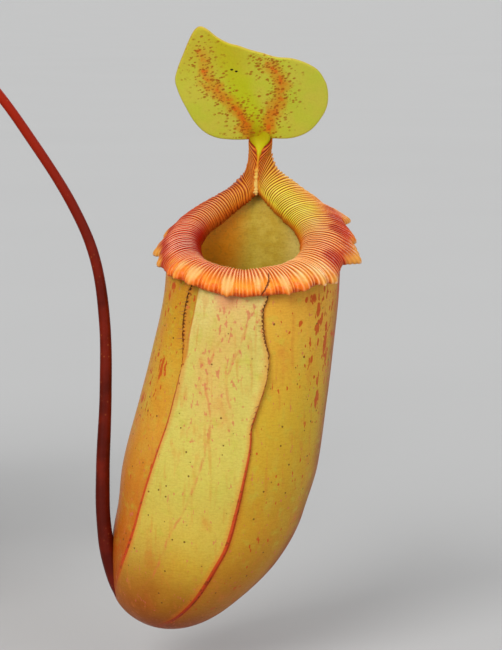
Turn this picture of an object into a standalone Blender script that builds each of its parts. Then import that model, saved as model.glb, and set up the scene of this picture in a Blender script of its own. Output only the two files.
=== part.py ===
"""A tropical pitcher plant in a clay pot: one climbing stem, eight leaves whose midribs run on as
tendrils, two open pitchers and one young closed one.

Metres, +Z up. The origin is the centre of the pot's flat base. Local pitcher shapes are in
millimetres, with their front towards -Y, and are scaled and turned into place.
"""

import math

import bmesh
import bpy
from mathutils import Matrix, Vector

MM = 0.001
GAP = 0.3 * MM  # left between pieces that touch

# Pot: a thrown clay pot with a thick rim band and drainage holes in its floor.
POT_HEIGHT = 120 * MM
POT_BASE_RADIUS = 48 * MM
POT_BAND_RADIUS = 70 * MM
POT_BAND_HEIGHT = 27 * MM
POT_BAND_STEP = 4 * MM
POT_WALL = 5 * MM
POT_FLOOR = 7 * MM
POT_EDGE = 1.5 * MM
POT_STEPS = 48
DRAIN_HOLES = 3
DRAIN_RADIUS = 6 * MM
DRAIN_CIRCLE = 26 * MM

# Potting mix and stem.
MIX_TOP = 104 * MM
MIX_CROWN = 3 * MM
SOCKET_DEPTH = 22 * MM
STEM_RADIUS = 5 * MM
STEM_TOP = 182 * MM

# Leaves go up the stem in a spiral of the golden angle.
LEAF_COUNT = 8
GOLDEN_ANGLE = 137.5
FIRST_AZIMUTH = 24.5
FIRST_LEAF_HEIGHT = 122 * MM
INTERNODE = 7.2 * MM
BLADE_THICKNESS = 1.0 * MM
SHEATH_HALF_ANGLE = math.radians(38)
SHEATH_SHARE = 0.16  # of the blade's length that turns from a sheath into a blade
BLADE_FOLD = 0.30
BLADE_CURL = 0.34
LEAF_TURN = math.radians(8)  # a pitcher's own X axis, ahead of its leaf's azimuth

# length, half width, pitch at the stem and at the tip (degrees), and share of a full tendril or pitcher
LEAVES = (
    dict(length=132, half_width=22, pitch=(52, -46), load=0.78),
    dict(length=150, half_width=24, pitch=(66, -36), load=0.80, carries="pitcher_2"),
    dict(length=148, half_width=24, pitch=(54, -38), load=1.00),
    dict(length=144, half_width=23, pitch=(60, -34), load=0.42, carries="young_pitcher"),
    dict(length=150, half_width=24, pitch=(58, -34), load=1.10),
    dict(length=156, half_width=24, pitch=(76, -42), load=1.00, carries="pitcher_1"),
    dict(length=130, half_width=21, pitch=(74, -16), load=0.75),
    dict(length=104, half_width=16, pitch=(80, 8), load=0.55),
)
# Half width of a blade along its length, as a share of its widest.
BLADE_OUTLINE = (
    (0.0, 0.26), (0.10, 0.22), (0.22, 0.44), (0.42, 0.88), (0.58, 1.0), (0.78, 0.84), (0.92, 0.46), (1.0, 0.05),
)

# A pitcher, in millimetres, from the lowest point of its cup.
CUP_DOME = 36  # the round bottom ends here
CUP_RADIUS = ((0, 28.0), (36, 28.3), (50, 29.4), (70, 28.2), (91, 26.6), (112, 26.2), (150, 26.0))
CUP_CENTRE_X = ((0, -24.3), (9, -22.3), (21, -17.2), (36, -12.3), (57, -7.9), (84, -2.7), (105, 0.1), (150, 0.8))
CUP_CENTRE_Y = ((0, -3.0), (50, -2.0), (112, 0.0), (125, 1.6), (135, 3.6), (150, 3.8))
CUP_DEPTH_RATIO = 0.93
CUP_WALL = 1.2
CUP_ROWS = 12
CUP_SHOULDER = 84  # above this the wall bends to meet the lip
CUP_LIP_SHARE = 0.72  # where, across the lip, its wall meets it
CUP_LIP_GAP = 0.8
NECK_SETBACK = 2.2  # the neck's wall lies flat behind the lip
NECK_ANGLES = {9: math.radians(167), 10: math.radians(171.5), 11: math.radians(176)}
CUP_COLLAR = 8  # the wall runs straight up into the lip over this height
MOUTH_YAW = math.radians(-8)

# The lip (peristome) from the front of the mouth to the top of the neck: inner edge, outer edge.
LIP = (
    ((0.0, -15.5, 109.6), (0.0, -28.3, 104.4)),
    ((9.6, -12.5, 110.6), (17.0, -24.0, 106.0)),
    ((13.3, -7.0, 112.4), (24.6, -15.0, 108.2)),
    ((14.8, -0.5, 115.6), (27.9, -4.0, 113.4)),
    ((13.2, 6.0, 118.9), (26.5, 7.0, 118.9)),
    ((10.0, 11.5, 121.8), (22.0, 14.0, 123.0)),
    ((6.6, 15.5, 124.4), (16.8, 18.8, 126.6)),
    ((3.6, 18.3, 126.8), (11.8, 22.0, 129.6)),
    ((1.6, 19.8, 128.8), (7.8, 23.8, 132.3)),
    ((0.6, 21.0, 133.0), (5.0, 24.6, 136.4)),
    ((0.5, 22.0, 139.0), (4.1, 25.0, 141.5)),
    ((0.5, 22.4, 143.0), (4.2, 25.0, 146.0)),
)
LIP_SIDEWAYS = 1.8  # the outer edge reaches further to the right than to the left
LIP_BULGE = ((0, 4.6), (4, 5.0), (7, 4.0), (9, 2.2), (11, 1.4))
LIP_WALL = 1.0

# The lid's outline in front view, round its middle, from its foot: angle (degrees) and reach.
LID_FOOT = (-0.7, 24.3, 146.6)
LID_MIDDLE = (-2.5, 16.0)
LID_OUTLINE = (
    (0, 23.2), (12, 20.9), (30, 15.7), (48, 11.6), (67, 10.3), (93, 10.9), (113, 13.4), (124, 17.5), (131, 23.6),
    (145, 23.0), (166, 22.5), (184, 21.9), (199, 20.5), (226, 19.6), (248, 17.4), (267, 16.0), (280, 16.1),
    (302, 18.6), (323, 22.3), (345, 23.7), (360, 23.2),
)
LID_RISE = 1.05  # it leans forwards, so it's longer than it looks from the front
LID_LEAN = math.tan(math.radians(33))
LID_CUP = 0.012  # how much its sides bend back, per millimetre
LID_WALL = 1.0

# A pitcher's tendril, in the pitcher's own millimetres, after the leaf's tip.
TIP_TO_PITCHER = Vector((98.4, -4.1, -183.0))
TENDRIL = (
    (-77.1, -0.5, 163.8), (-64.2, -0.5, 146.2), (-52.8, -1.0, 127.7), (-46.3, -2.0, 112.0), (-43.5, -3.0, 92.9),
    (-43.3, -4.5, 72.0), (-44.2, -6.0, 50.0), (-44.1, -7.0, 34.0), (-42.0, -7.5, 21.0), (-37.4, -7.5, 10.5),
    (-29.0, -7.0, 5.0),
)
TENDRIL_LEAD = 4 * MM
TENDRIL_RADIUS = ((0.0, 1.45), (0.35, 1.5), (0.6, 1.8), (0.8, 2.3), (1.0, 2.6))
# A tendril with no pitcher: outwards and down from the leaf's tip, ending in a small hook.
BARE_TENDRIL = (
    (0, 0), (13, -9), (25, -26), (31, -48), (30, -68), (25, -82), (24, -93), (29, -99), (35, -96), (36, -89),
)
BARE_RADIUS = ((0.0, 1.3), (0.5, 1.05), (0.85, 1.1), (0.95, 1.9), (1.0, 1.2))
SPUR = ((0, 29.6, 136.0), (0, 32.2, 138.6), (0, 34.8, 143.0), (0, 36.2, 148.0))

FINISHES = {
    "terracotta": ((0.55, 0.26, 0.15), 0.85),
    "potting_mix": ((0.13, 0.09, 0.06), 0.95),
    "stem": ((0.30, 0.28, 0.10), 0.6),
    "leaf_green": ((0.13, 0.27, 0.06), 0.4),
    "tendril_red": ((0.30, 0.07, 0.03), 0.5),
    "cup_yellow": ((0.70, 0.50, 0.14), 0.45),
    "lip_orange": ((0.80, 0.28, 0.08), 0.35),
    "lid_lime": ((0.66, 0.62, 0.14), 0.45),
}


def clear_scene():
    for thing in list(bpy.data.objects):
        bpy.data.objects.remove(thing)


def collection(name):
    made = bpy.data.collections.new(name)
    bpy.context.scene.collection.children.link(made)
    return made


def material(name):
    """A plain Principled finish from the table, made once."""
    found = bpy.data.materials.get(name)
    if found:
        return found
    colour, roughness = FINISHES[name]
    made = bpy.data.materials.new(name)
    made.use_nodes = True
    shader = made.node_tree.nodes["Principled BSDF"]
    shader.inputs["Base Color"].default_value = (*colour, 1.0)
    shader.inputs["Roughness"].default_value = roughness
    shader.inputs["Metallic"].default_value = 0.0
    return made


def smooth(stations, t):
    """The value at t on a smooth curve through (t, value) stations, held level past its ends."""
    if t <= stations[0][0]:
        return stations[0][1]
    if t >= stations[-1][0]:
        return stations[-1][1]
    i = next(k for k in range(len(stations) - 1) if stations[k + 1][0] >= t)
    (t0, a), (t1, b) = stations[i], stations[i + 1]
    before = stations[max(i - 1, 0)]
    after = stations[min(i + 2, len(stations) - 1)]
    width = t1 - t0
    slope_a = (b - before[1]) / (t1 - before[0]) * width
    slope_b = (after[1] - a) / (after[0] - t0) * width
    u = (t - t0) / width
    return (
        a * (2 * u**3 - 3 * u**2 + 1)
        + slope_a * (u**3 - 2 * u**2 + u)
        + b * (3 * u**2 - 2 * u**3)
        + slope_b * (u**3 - u**2)
    )


def ease(u):
    u = min(max(u, 0.0), 1.0)
    return u * u * (3 - 2 * u)


def through(points, count):
    """count points spread evenly by index along a smooth curve through these points."""
    stations = [(i, Vector(p)) for i, p in enumerate(points)]
    last = len(points) - 1
    return [smooth(stations, last * i / (count - 1)) for i in range(count)]


def add(data, name, finish, home):
    made = bpy.data.objects.new(name, data)
    home.objects.link(made)
    data.materials.append(material(finish))
    return made


def sheet(name, finish, home, columns, rows, point):
    """An open surface: a flat grid whose corners are moved to point(u, v), with seams and poles closed."""
    form = bmesh.new()
    bmesh.ops.create_grid(form, x_segments=columns, y_segments=rows, size=0.5)
    for corner in form.verts:
        corner.co = point(corner.co.x + 0.5, corner.co.y + 0.5)
    bmesh.ops.remove_doubles(form, verts=form.verts, dist=0.01 * MM)
    bmesh.ops.recalc_face_normals(form, faces=form.faces)
    data = bpy.data.meshes.new(name)
    form.to_mesh(data)
    form.free()
    data.shade_smooth()
    return add(data, name, finish, home)


def thicken(thing, thickness, offset):
    """Gives an open sheet its wall. Offset -1 grows it inwards, or down under a lip, and 0 both ways."""
    wall = thing.modifiers.new("wall", "SOLIDIFY")
    wall.thickness = thickness
    wall.offset = offset


def tube(name, finish, home, points, radii, sides=2):
    """A tube along points, as thick at each as its radius says."""
    line = bpy.data.curves.new(name, "CURVE")
    line.dimensions = "3D"
    line.bevel_depth = max(radii)
    line.bevel_resolution = sides
    line.use_fill_caps = True
    spline = line.splines.new("POLY")
    spline.points.add(len(points) - 1)
    for knot, place, radius in zip(spline.points, points, radii):
        knot.co = (*place, 1.0)
        knot.radius = radius / line.bevel_depth
    return add(line, name, finish, home)


def as_mesh(thing, home):
    """A curve made a mesh with its caps welded on, so that it can be cut."""
    graph = bpy.context.evaluated_depsgraph_get()
    data = bpy.data.meshes.new_from_object(thing.evaluated_get(graph))
    form = bmesh.new()
    form.from_mesh(data)
    bmesh.ops.remove_doubles(form, verts=form.verts, dist=0.01 * MM)
    form.to_mesh(data)
    form.free()
    name, place = thing.name, thing.matrix_world.copy()
    bpy.data.objects.remove(thing)
    made = bpy.data.objects.new(name, data)
    made.matrix_world = place
    home.objects.link(made)
    return made


def turned(name, finish, home, profile):
    """A solid of revolution about Z from (radius, height) points that end on the axis."""
    data = bpy.data.meshes.new(name)
    data.from_pydata([(r, 0, z) for r, z in profile], [(i, i + 1) for i in range(len(profile) - 1)], [])
    made = add(data, name, finish, home)
    screw = made.modifiers.new("turn", "SCREW")
    screw.steps = screw.render_steps = POT_STEPS
    screw.use_merge_vertices = True
    screw.merge_threshold = 0.01 * MM
    return made


def cylinder(name, home, radius, bottom, top, at=(0, 0)):
    """A cutter that shows as a wire and isn't rendered."""
    form = bmesh.new()
    bmesh.ops.create_cone(
        form, cap_ends=True, segments=24, radius1=radius, radius2=radius, depth=top - bottom,
        matrix=Matrix.Translation((*at, (top + bottom) / 2)),
    )
    data = bpy.data.meshes.new(name)
    form.to_mesh(data)
    form.free()
    made = bpy.data.objects.new(name, data)
    home.objects.link(made)
    return hidden(made)


def hidden(thing):
    thing.hide_render = True
    thing.display_type = "WIRE"
    return thing


def cut(thing, cutter):
    boolean = thing.modifiers.new("cut " + cutter.name, "BOOLEAN")
    boolean.object = cutter
    boolean.operation = "DIFFERENCE"


def inner_radius(z):
    """The pot's inside radius at height z, from its straight tapering wall."""
    body_top = POT_BAND_RADIUS - POT_BAND_STEP
    share = z / (POT_HEIGHT - POT_BAND_HEIGHT)
    return POT_BASE_RADIUS + (body_top - POT_BASE_RADIUS) * min(share, 1.0) - POT_WALL


def pot(home, cutters):
    body_top = POT_BAND_RADIUS - POT_BAND_STEP
    band_foot = POT_HEIGHT - POT_BAND_HEIGHT
    inside_top = inner_radius(band_foot)
    made = turned("pot", "terracotta", home, [
        (0, POT_FLOOR),
        (inner_radius(POT_FLOOR), POT_FLOOR),
        (inside_top, band_foot),
        (inside_top + POT_EDGE, POT_HEIGHT - POT_EDGE),
        (inside_top + 2 * POT_EDGE, POT_HEIGHT),
        (POT_BAND_RADIUS - POT_EDGE, POT_HEIGHT),
        (POT_BAND_RADIUS, POT_HEIGHT - POT_EDGE),
        (POT_BAND_RADIUS - POT_EDGE, band_foot),
        (body_top, band_foot),
        (POT_BASE_RADIUS, POT_EDGE),
        (POT_BASE_RADIUS - POT_EDGE, 0),
        (0, 0),
    ])
    for hole in range(DRAIN_HOLES):
        angle = math.tau * hole / DRAIN_HOLES + math.pi / 2
        at = (DRAIN_CIRCLE * math.cos(angle), DRAIN_CIRCLE * math.sin(angle))
        cut(made, cylinder(f"drain_cutter_{hole + 1}", cutters, DRAIN_RADIUS, -POT_FLOOR, 2 * POT_FLOOR, at))


def potting_mix(home, cutters):
    floor = POT_FLOOR + GAP
    made = turned("potting_mix", "potting_mix", home, [
        (0, MIX_TOP + MIX_CROWN),
        (inner_radius(MIX_TOP) * 0.55, MIX_TOP + MIX_CROWN * 0.7),
        (inner_radius(MIX_TOP) - GAP, MIX_TOP),
        (inner_radius(POT_HEIGHT - POT_BAND_HEIGHT) - GAP, POT_HEIGHT - POT_BAND_HEIGHT),
        (inner_radius(floor) - GAP, floor),
        (0, floor),
    ])
    socket = cylinder("stem_socket", cutters, STEM_RADIUS + GAP, MIX_TOP - SOCKET_DEPTH, MIX_TOP + 10 * MM)
    cut(made, socket)


def stem(home):
    foot = MIX_TOP - SOCKET_DEPTH + GAP
    heights = [foot, MIX_TOP, (MIX_TOP + STEM_TOP) / 2, STEM_TOP - 5 * MM, STEM_TOP]
    radii = [STEM_RADIUS, STEM_RADIUS, STEM_RADIUS, 0.9 * STEM_RADIUS, 0.6 * STEM_RADIUS]
    tube("stem", "stem", home, [(0, 0, z) for z in heights], radii, sides=4)


def new_leaf(home):
    """The next leaf, still rolled into a spike at the top of the stem."""
    foot = Vector((0, 0, STEM_TOP + GAP))
    points = through([foot, foot + Vector((1, -1, 20)) * MM, foot + Vector((5, -4, 44)) * MM,
                      foot + Vector((12, -8, 66)) * MM], 8)
    radii = [smooth(((0, 2.6), (3, 3.1), (5, 2.2), (7, 0.5)), i) * MM for i in range(8)]
    tube("new_leaf", "leaf_green", home, points, radii)


class Leaf:
    """One blade's place on the stem, its arching midrib and the point where its tendril starts."""

    def __init__(self, index, length, half_width, pitch, load, carries=None):
        self.name = f"leaf_{index + 1}"
        self.number = index + 1
        self.azimuth = math.radians(FIRST_AZIMUTH + GOLDEN_ANGLE * index)
        self.height = FIRST_LEAF_HEIGHT + INTERNODE * index
        self.length = length * MM
        self.half_width = half_width * MM
        self.start, self.end = (math.radians(a) for a in pitch)
        self.load = load
        self.carries = carries
        self.out = Vector((math.cos(self.azimuth), math.sin(self.azimuth), 0))
        self.side = Vector((-math.sin(self.azimuth), math.cos(self.azimuth), 0))
        self.root = STEM_RADIUS + GAP + BLADE_THICKNESS / 2

    def pitch_at(self, u):
        return self.start + (self.end - self.start) * u

    def midrib(self, u):
        """A circular arch: its pitch falls evenly from the stem to the tip."""
        turn = self.start - self.end
        pitch = self.pitch_at(u)
        reach = self.root + self.length * (math.sin(self.start) - math.sin(pitch)) / turn
        rise = self.length * (math.cos(pitch) - math.cos(self.start)) / turn
        return self.out * reach + Vector((0, 0, self.height + rise))

    def along(self, u):
        pitch = self.pitch_at(u)
        return self.out * math.cos(pitch) + Vector((0, 0, math.sin(pitch)))

    def above(self, u):
        pitch = self.pitch_at(u)
        return Vector((0, 0, math.cos(pitch))) - self.out * math.sin(pitch)

    def tendril_start(self):
        """The first two points of the tendril, straight on from the midrib."""
        return [self.midrib(1) + self.along(1) * step for step in (GAP, TENDRIL_LEAD)]

    def point(self, u, v):
        """A point of the blade: u from the stem to the tip, v from -1 to 1 across."""
        half = self.half_width * smooth(BLADE_OUTLINE, u)
        lift = half * (BLADE_FOLD * abs(v) - BLADE_CURL * v * v)
        wave = 0.05 * self.half_width * v * v * math.sin(math.tau * 2.2 * u + self.number)
        middle = self.midrib(u)
        blade = middle + self.side * (v * half) + self.above(u) * (lift + wave)
        round_stem = self.azimuth + v * SHEATH_HALF_ANGLE
        sheath = Vector((math.cos(round_stem), math.sin(round_stem), 0)) * self.root
        sheath.z = middle.z
        return sheath.lerp(blade, ease(u / SHEATH_SHARE))


def blade(leaf, home):
    made = sheet(leaf.name, "leaf_green", home, 4, 12, lambda a, u: leaf.point(u, 2 * a - 1))
    thicken(made, BLADE_THICKNESS, 0)


def bare_tendril(leaf, home):
    start = leaf.tendril_start()
    scale = leaf.load * MM
    control = [start[-1] + leaf.out * (x * scale) + Vector((0, 0, z * scale)) for x, z in BARE_TENDRIL]
    control = start[:1] + control
    count = 24
    radii = [smooth(BARE_RADIUS, i / (count - 1)) * MM for i in range(count)]
    tube(f"tendril_{leaf.number}", "tendril_red", home, through(control, count), radii)


class Pitcher:
    """Where one pitcher hangs: a turn about Z, a scale and the place of its cup's lowest point."""

    def __init__(self, leaf):
        self.name = leaf.carries
        self.leaf = leaf
        self.scale = leaf.load
        self.tip = leaf.midrib(1)
        self.turn = Matrix.Rotation(leaf.azimuth + LEAF_TURN, 3, "Z")
        self.origin = self.tip + self.turn @ (TIP_TO_PITCHER * self.scale * MM)

    def place(self, local):
        """A point of the pitcher, in its own millimetres, put where it hangs."""
        return self.origin + self.turn @ (Vector(local) * (self.scale * MM))


def cup_point(angle, z, grow=0.0):
    """A point of the cup's outside at an angle from its front and a height, grown outwards."""
    radius = smooth(CUP_RADIUS, z)
    height = z
    if z < CUP_DOME:
        radius *= math.sqrt(max(1 - (1 - z / CUP_DOME) ** 2, 0.0))
        height -= grow * (1 - z / CUP_DOME)
    x = smooth(CUP_CENTRE_X, z) + (radius + grow) * math.sin(angle)
    y = smooth(CUP_CENTRE_Y, z) - (CUP_DEPTH_RATIO * radius + grow) * math.cos(angle)
    return Vector((x, y, height))


def rim_columns():
    """(angle from the front, where the wall ends under the lip) once round from the back of the neck."""
    columns = []
    for s in [-11, -10, -9] + [half / 2 for half in range(-16, 17)] + [9, 10, 11]:
        behind = NECK_SETBACK * ease((abs(s) - 5.5) / 2.5)
        top = lip_point(s, CUP_LIP_SHARE, LIP_WALL + CUP_LIP_GAP + behind)
        across = top.x - smooth(CUP_CENTRE_X, top.z)
        back = (top.y - smooth(CUP_CENTRE_Y, top.z)) / CUP_DEPTH_RATIO
        angle = math.copysign(NECK_ANGLES[abs(s)], s) if abs(s) > 8 else math.atan2(across, -back)
        columns.append((angle, top))
    middle = (columns[0][1] + columns[-1][1]) / 2 + faced((0, 0.6, 0))
    return [(-math.pi, middle)] + columns + [(math.pi, middle)]


def cup(pitcher, home):
    columns = rim_columns()
    last = len(columns) - 1

    def point(u, v):
        angle, top = columns[round(u * last)]
        z = top.z * (1 - math.cos(v * math.pi / 2))
        bend = ease((z - CUP_SHOULDER) / (top.z - CUP_COLLAR - CUP_SHOULDER))
        return pitcher.place(cup_point(angle, z) + (top - cup_point(angle, top.z)) * bend)

    made = sheet(f"{pitcher.name}_cup", "cup_yellow", home, last, CUP_ROWS, point)
    thicken(made, CUP_WALL * pitcher.scale * MM, -1)


def cup_cutter(pitcher, cutters, top=60):
    """The solid shape of the lower cup, grown by the gap, to trim the tendril's end."""
    grow = GAP / MM / pitcher.scale

    def point(u, v):
        if v > 0.95:
            return pitcher.place((smooth(CUP_CENTRE_X, top), 0, top))
        share = v / 0.9
        return pitcher.place(cup_point(u * math.tau, top * (1 - math.cos(min(share, 1) * math.pi / 2)), grow))

    return hidden(sheet(f"{pitcher.name}_cutter", "cup_yellow", cutters, 32, 10, point))


def faced(point):
    """Turns the mouth about Z to the way that the pitcher faces."""
    x, y, z = point
    cos, sin = math.cos(MOUTH_YAW), math.sin(MOUTH_YAW)
    return Vector((x * cos - y * sin, x * sin + y * cos, z))


def lip_frame(s):
    """Inner edge, outer edge and bulge of the lip at station s, negative on the left."""
    inner = smooth([(i, Vector(a)) for i, (a, b) in enumerate(LIP)], abs(s))
    outer = smooth([(i, Vector(b)) for i, (a, b) in enumerate(LIP)], abs(s))
    bulge = smooth(LIP_BULGE, abs(s))
    if s < 0:
        inner, outer = (Vector((-p.x, p.y, p.z)) for p in (inner, outer))
    outer.x += LIP_SIDEWAYS * ease((len(LIP) - 3 - abs(s)) / 5)
    return inner, outer, bulge


def lip_point(s, across, under=0.0):
    """A point of the lip's upper face, or so far under it, from its inner edge at 0 to its outer at 1."""
    inner, outer, bulge = lip_frame(s)
    ahead, behind = (lip_frame(min(max(s + d, -11), 11)) for d in (0.2, -0.2))
    run = (ahead[0] + ahead[1]) - (behind[0] + behind[1])
    normal = run.cross(outer - inner).normalized() * -1
    return faced(inner.lerp(outer, across) + normal * (bulge * math.sin(math.pi * across) - under))


def lip(pitcher, home):
    last = len(LIP) - 1

    def point(u, v):
        return pitcher.place(lip_point((2 * v - 1) * last, u))

    made = sheet(f"{pitcher.name}_lip", "lip_orange", home, 6, 4 * last, point)
    thicken(made, LIP_WALL * pitcher.scale * MM, -1)


def lid_point(angle, share):
    """A point of the lid: share from its middle at 0 to its edge at 1."""
    reach = smooth(LID_OUTLINE, math.degrees(angle) % 360) * share
    p = LID_MIDDLE[0] + reach * math.cos(angle)
    q = (LID_MIDDLE[1] + reach * math.sin(angle)) * LID_RISE
    return faced(LID_FOOT) + Vector((p, LID_CUP * p * p - LID_LEAN * q, q))


def lid(pitcher, home):
    made = sheet(
        f"{pitcher.name}_lid", "lid_lime", home, 28, 4,
        lambda u, v: pitcher.place(lid_point(u * math.tau, v)),
    )
    thicken(made, LID_WALL * pitcher.scale * MM, 0)


def spur(pitcher, home):
    points = [pitcher.place(faced(p)) for p in through(SPUR, 6)]
    radii = [r * pitcher.scale * MM for r in (1.1, 1.0, 0.85, 0.7, 0.5, 0.25)]
    tube(f"{pitcher.name}_spur", "lip_orange", home, points, radii)


def pitcher_tendril(pitcher, home, cutters):
    """The tendril from the leaf's tip down, round and into the foot of the cup."""
    leaf = pitcher.leaf
    points = through(leaf.tendril_start() + [pitcher.place(p) for p in TENDRIL], 36)
    last = len(points) - 1
    radii = [smooth(TENDRIL_RADIUS, i / last) * (0.35 + 0.65 * pitcher.scale) * MM for i in range(last + 1)]
    line = tube(f"tendril_{leaf.number}", "tendril_red", home, points, radii)
    made = as_mesh(line, home)
    cut(made, cup_cutter(pitcher, cutters))


def young_pitcher(pitcher, home):
    """A pitcher that hasn't opened: the lid is still sealed on to the cup."""
    top, shoulder = 122, 84

    def point(u, v):
        z = top * (1 - math.cos(v * math.pi)) / 2
        here = cup_point(u * math.tau, z)
        close = math.sqrt(max(1 - (max(z - shoulder, 0) / (top - shoulder)) ** 2, 0.0))
        middle = Vector((smooth(CUP_CENTRE_X, z), smooth(CUP_CENTRE_Y, z), z))
        return pitcher.place(middle + (here - middle) * (close * 0.86))

    sheet(pitcher.name, "cup_yellow", home, 20, 14, point)


def build():
    clear_scene()
    home = collection("potted pitcher plant")
    cutters = collection("cutters")
    pot(home, cutters)
    potting_mix(home, cutters)
    stem(home)
    new_leaf(home)
    for index, values in enumerate(LEAVES):
        leaf = Leaf(index, **values)
        blade(leaf, home)
        if not leaf.carries:
            bare_tendril(leaf, home)
            continue
        pitcher = Pitcher(leaf)
        pitcher_tendril(pitcher, home, cutters)
        if leaf.carries == "young_pitcher":
            young_pitcher(pitcher, home)
            continue
        cup(pitcher, home)
        lip(pitcher, home)
        lid(pitcher, home)
        spur(pitcher, home)


build()
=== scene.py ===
import math

import bmesh
import bpy
import numpy as np
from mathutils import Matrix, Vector


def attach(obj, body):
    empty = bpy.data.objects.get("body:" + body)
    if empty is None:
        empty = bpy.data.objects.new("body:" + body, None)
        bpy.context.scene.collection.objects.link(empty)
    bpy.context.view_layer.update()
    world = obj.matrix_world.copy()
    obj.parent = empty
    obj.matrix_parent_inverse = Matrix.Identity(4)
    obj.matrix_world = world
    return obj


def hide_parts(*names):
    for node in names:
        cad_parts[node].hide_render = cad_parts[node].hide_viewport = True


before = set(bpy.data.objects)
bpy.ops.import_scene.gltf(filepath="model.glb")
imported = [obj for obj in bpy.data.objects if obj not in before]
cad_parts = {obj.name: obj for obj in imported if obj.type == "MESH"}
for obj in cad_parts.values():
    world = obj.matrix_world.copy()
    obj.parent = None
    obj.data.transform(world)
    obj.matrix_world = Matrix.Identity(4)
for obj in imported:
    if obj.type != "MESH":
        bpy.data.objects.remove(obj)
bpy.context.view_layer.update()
mm = 0.001
turnFull = 2 * math.pi

# everything below is worked out in millimetres and made metres when its mesh is built


# shape helpers
def curve(stations, at):
    # a smooth line through (place, value) stations, held level past its ends
    places = np.array([s[0] for s in stations], float)
    values = np.array([s[1] for s in stations], float)
    at = np.clip(np.asarray(at, float), places[0], places[-1])
    i = np.clip(np.searchsorted(places, at, side="right") - 1, 0, len(places) - 2)
    before, after = np.maximum(i - 1, 0), np.minimum(i + 2, len(places) - 1)
    width = places[i + 1] - places[i]
    u = (at - places[i]) / width
    leave = width / (places[i + 1] - places[before])
    arrive = width / (places[after] - places[i])
    if values.ndim == 2:
        u, leave, arrive = u[..., None], leave[..., None], arrive[..., None]
    a, b = values[i], values[i + 1]
    slopeA = (b - values[before]) * leave
    slopeB = (values[after] - a) * arrive
    return (a * (2 * u**3 - 3 * u**2 + 1) + slopeA * (u**3 - 2 * u**2 + u)
            + b * (3 * u**2 - 2 * u**3) + slopeB * (u**3 - u**2))


def through(points, count):
    # count points along a smooth line through these
    return curve(list(enumerate(points)), np.linspace(0, len(points) - 1, count))


def ease(u):
    u = np.clip(u, 0, 1)
    return u * u * (3 - 2 * u)


def hill(x, centre, width):
    return np.exp(-(((x - centre) / width) ** 2))


def unit(vectors):
    return vectors / np.maximum(np.linalg.norm(vectors, axis=-1, keepdims=True), 1e-9)


def stack(*parts):
    return np.stack(np.broadcast_arrays(*parts), -1)


def ripple(x, y, seed, size):
    # slow swells over a surface, from -1 to 1
    x, y = x / size, y / size
    waves = (np.sin((x * (a + 0.3) + y * b * 1.2) * 2.2 + 3 * c + 1.3 * np.sin(y * d + 5 * a))
             for a, b, c, d in np.random.default_rng(seed).uniform(-1, 1, (6, 4)))
    return sum(waves) / 3.5


def added(name, data):
    thing = bpy.data.objects.new(name, data)
    bpy.context.scene.collection.objects.link(thing)
    return thing


def circle(count, start=0.0):
    # angles round a full turn, as one row
    return (np.arange(count) / count * turnFull + start)[None]


def polar(radius, angle, height):
    return stack(radius * np.cos(angle), radius * np.sin(angle), height)


def loft(name, rings, marks=None):
    # one closed mesh from a row of closed rings, capped at both ends; its marks become point attributes
    rows, columns = rings.shape[:2]
    points = np.concatenate([rings.reshape(-1, 3), rings[0].mean(0)[None], rings[-1].mean(0)[None]]) * mm
    grid = np.arange(rows * columns).reshape(rows, columns)
    beside = np.roll(grid, -1, 1)
    quads = np.stack([grid[:-1], beside[:-1], beside[1:], grid[1:]], -1).reshape(-1, 4)
    first = np.stack([np.full(columns, rows * columns), beside[0], grid[0]], -1)
    last = np.stack([np.full(columns, rows * columns + 1), grid[-1], beside[-1]], -1)
    a, b, c, d = (points[quads[:, k]] for k in range(4))
    volume = (np.cross(b - a, c - a) * a).sum() + (np.cross(c - a, d - a) * a).sum()
    faces = [each[:, :: -1 if volume < 0 else 1].tolist() for each in (quads, first, last)]
    data = bpy.data.meshes.new(name)
    data.from_pydata(points.tolist(), [], sum(faces, []))
    for mark, values in (marks or {}).items():
        values = np.broadcast_to(values, (rows, columns))
        flat = np.concatenate([values.reshape(-1), [values[0].mean(), values[-1].mean()]])
        data.attributes.new(mark, "FLOAT", "POINT").data.foreach_set("value", flat.astype(np.float32))
    data.shade_smooth()
    return added(name, data)


def pipe(name, path, radii, sides, shape=None):
    # a tube along a path, as thick at each point as its radius; shape(around, along) scales it
    steps = unit(np.gradient(path, axis=0))
    normal = unit(np.cross(steps[0], (0.3, 0.9, 0.2)))
    normals = []
    for step in steps:
        normal = unit(normal - step * (normal @ step))
        normals.append(normal)
    normals = np.array(normals)
    sideways = np.cross(steps, normals)
    around, along = circle(sides), np.linspace(0, 1, len(path))[:, None]
    reach = np.asarray(radii)[:, None] * np.ones(sides)
    if shape:
        reach = reach * shape(around, along)
    rings = (path[:, None] + normals[:, None] * (reach * np.cos(around))[..., None]
             + sideways[:, None] * (reach * np.sin(around))[..., None])
    return loft(name, rings, {"along": along})


def plain(thing):
    # the modifiers' result as the object's own mesh
    graph = bpy.context.evaluated_depsgraph_get()
    shaped = thing.evaluated_get(graph)
    result = bpy.data.meshes.new_from_object(shaped, preserve_all_data_layers=True, depsgraph=graph)
    thing.modifiers.clear()
    thing.data = result
    return thing


def finished(thing, material, slot, *stoodFor):
    if not any(thing.data.materials):
        thing.data.materials.append(material)
    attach(thing, "root")
    if stoodFor:
        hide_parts(*stoodFor)
    return thing


# node helpers
def bothWays(operation):
    # an operator and its reflected form
    return (lambda wire, other: wire.maker.sum(operation, wire, other),
            lambda wire, other: wire.maker.sum(operation, other, wire))


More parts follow.
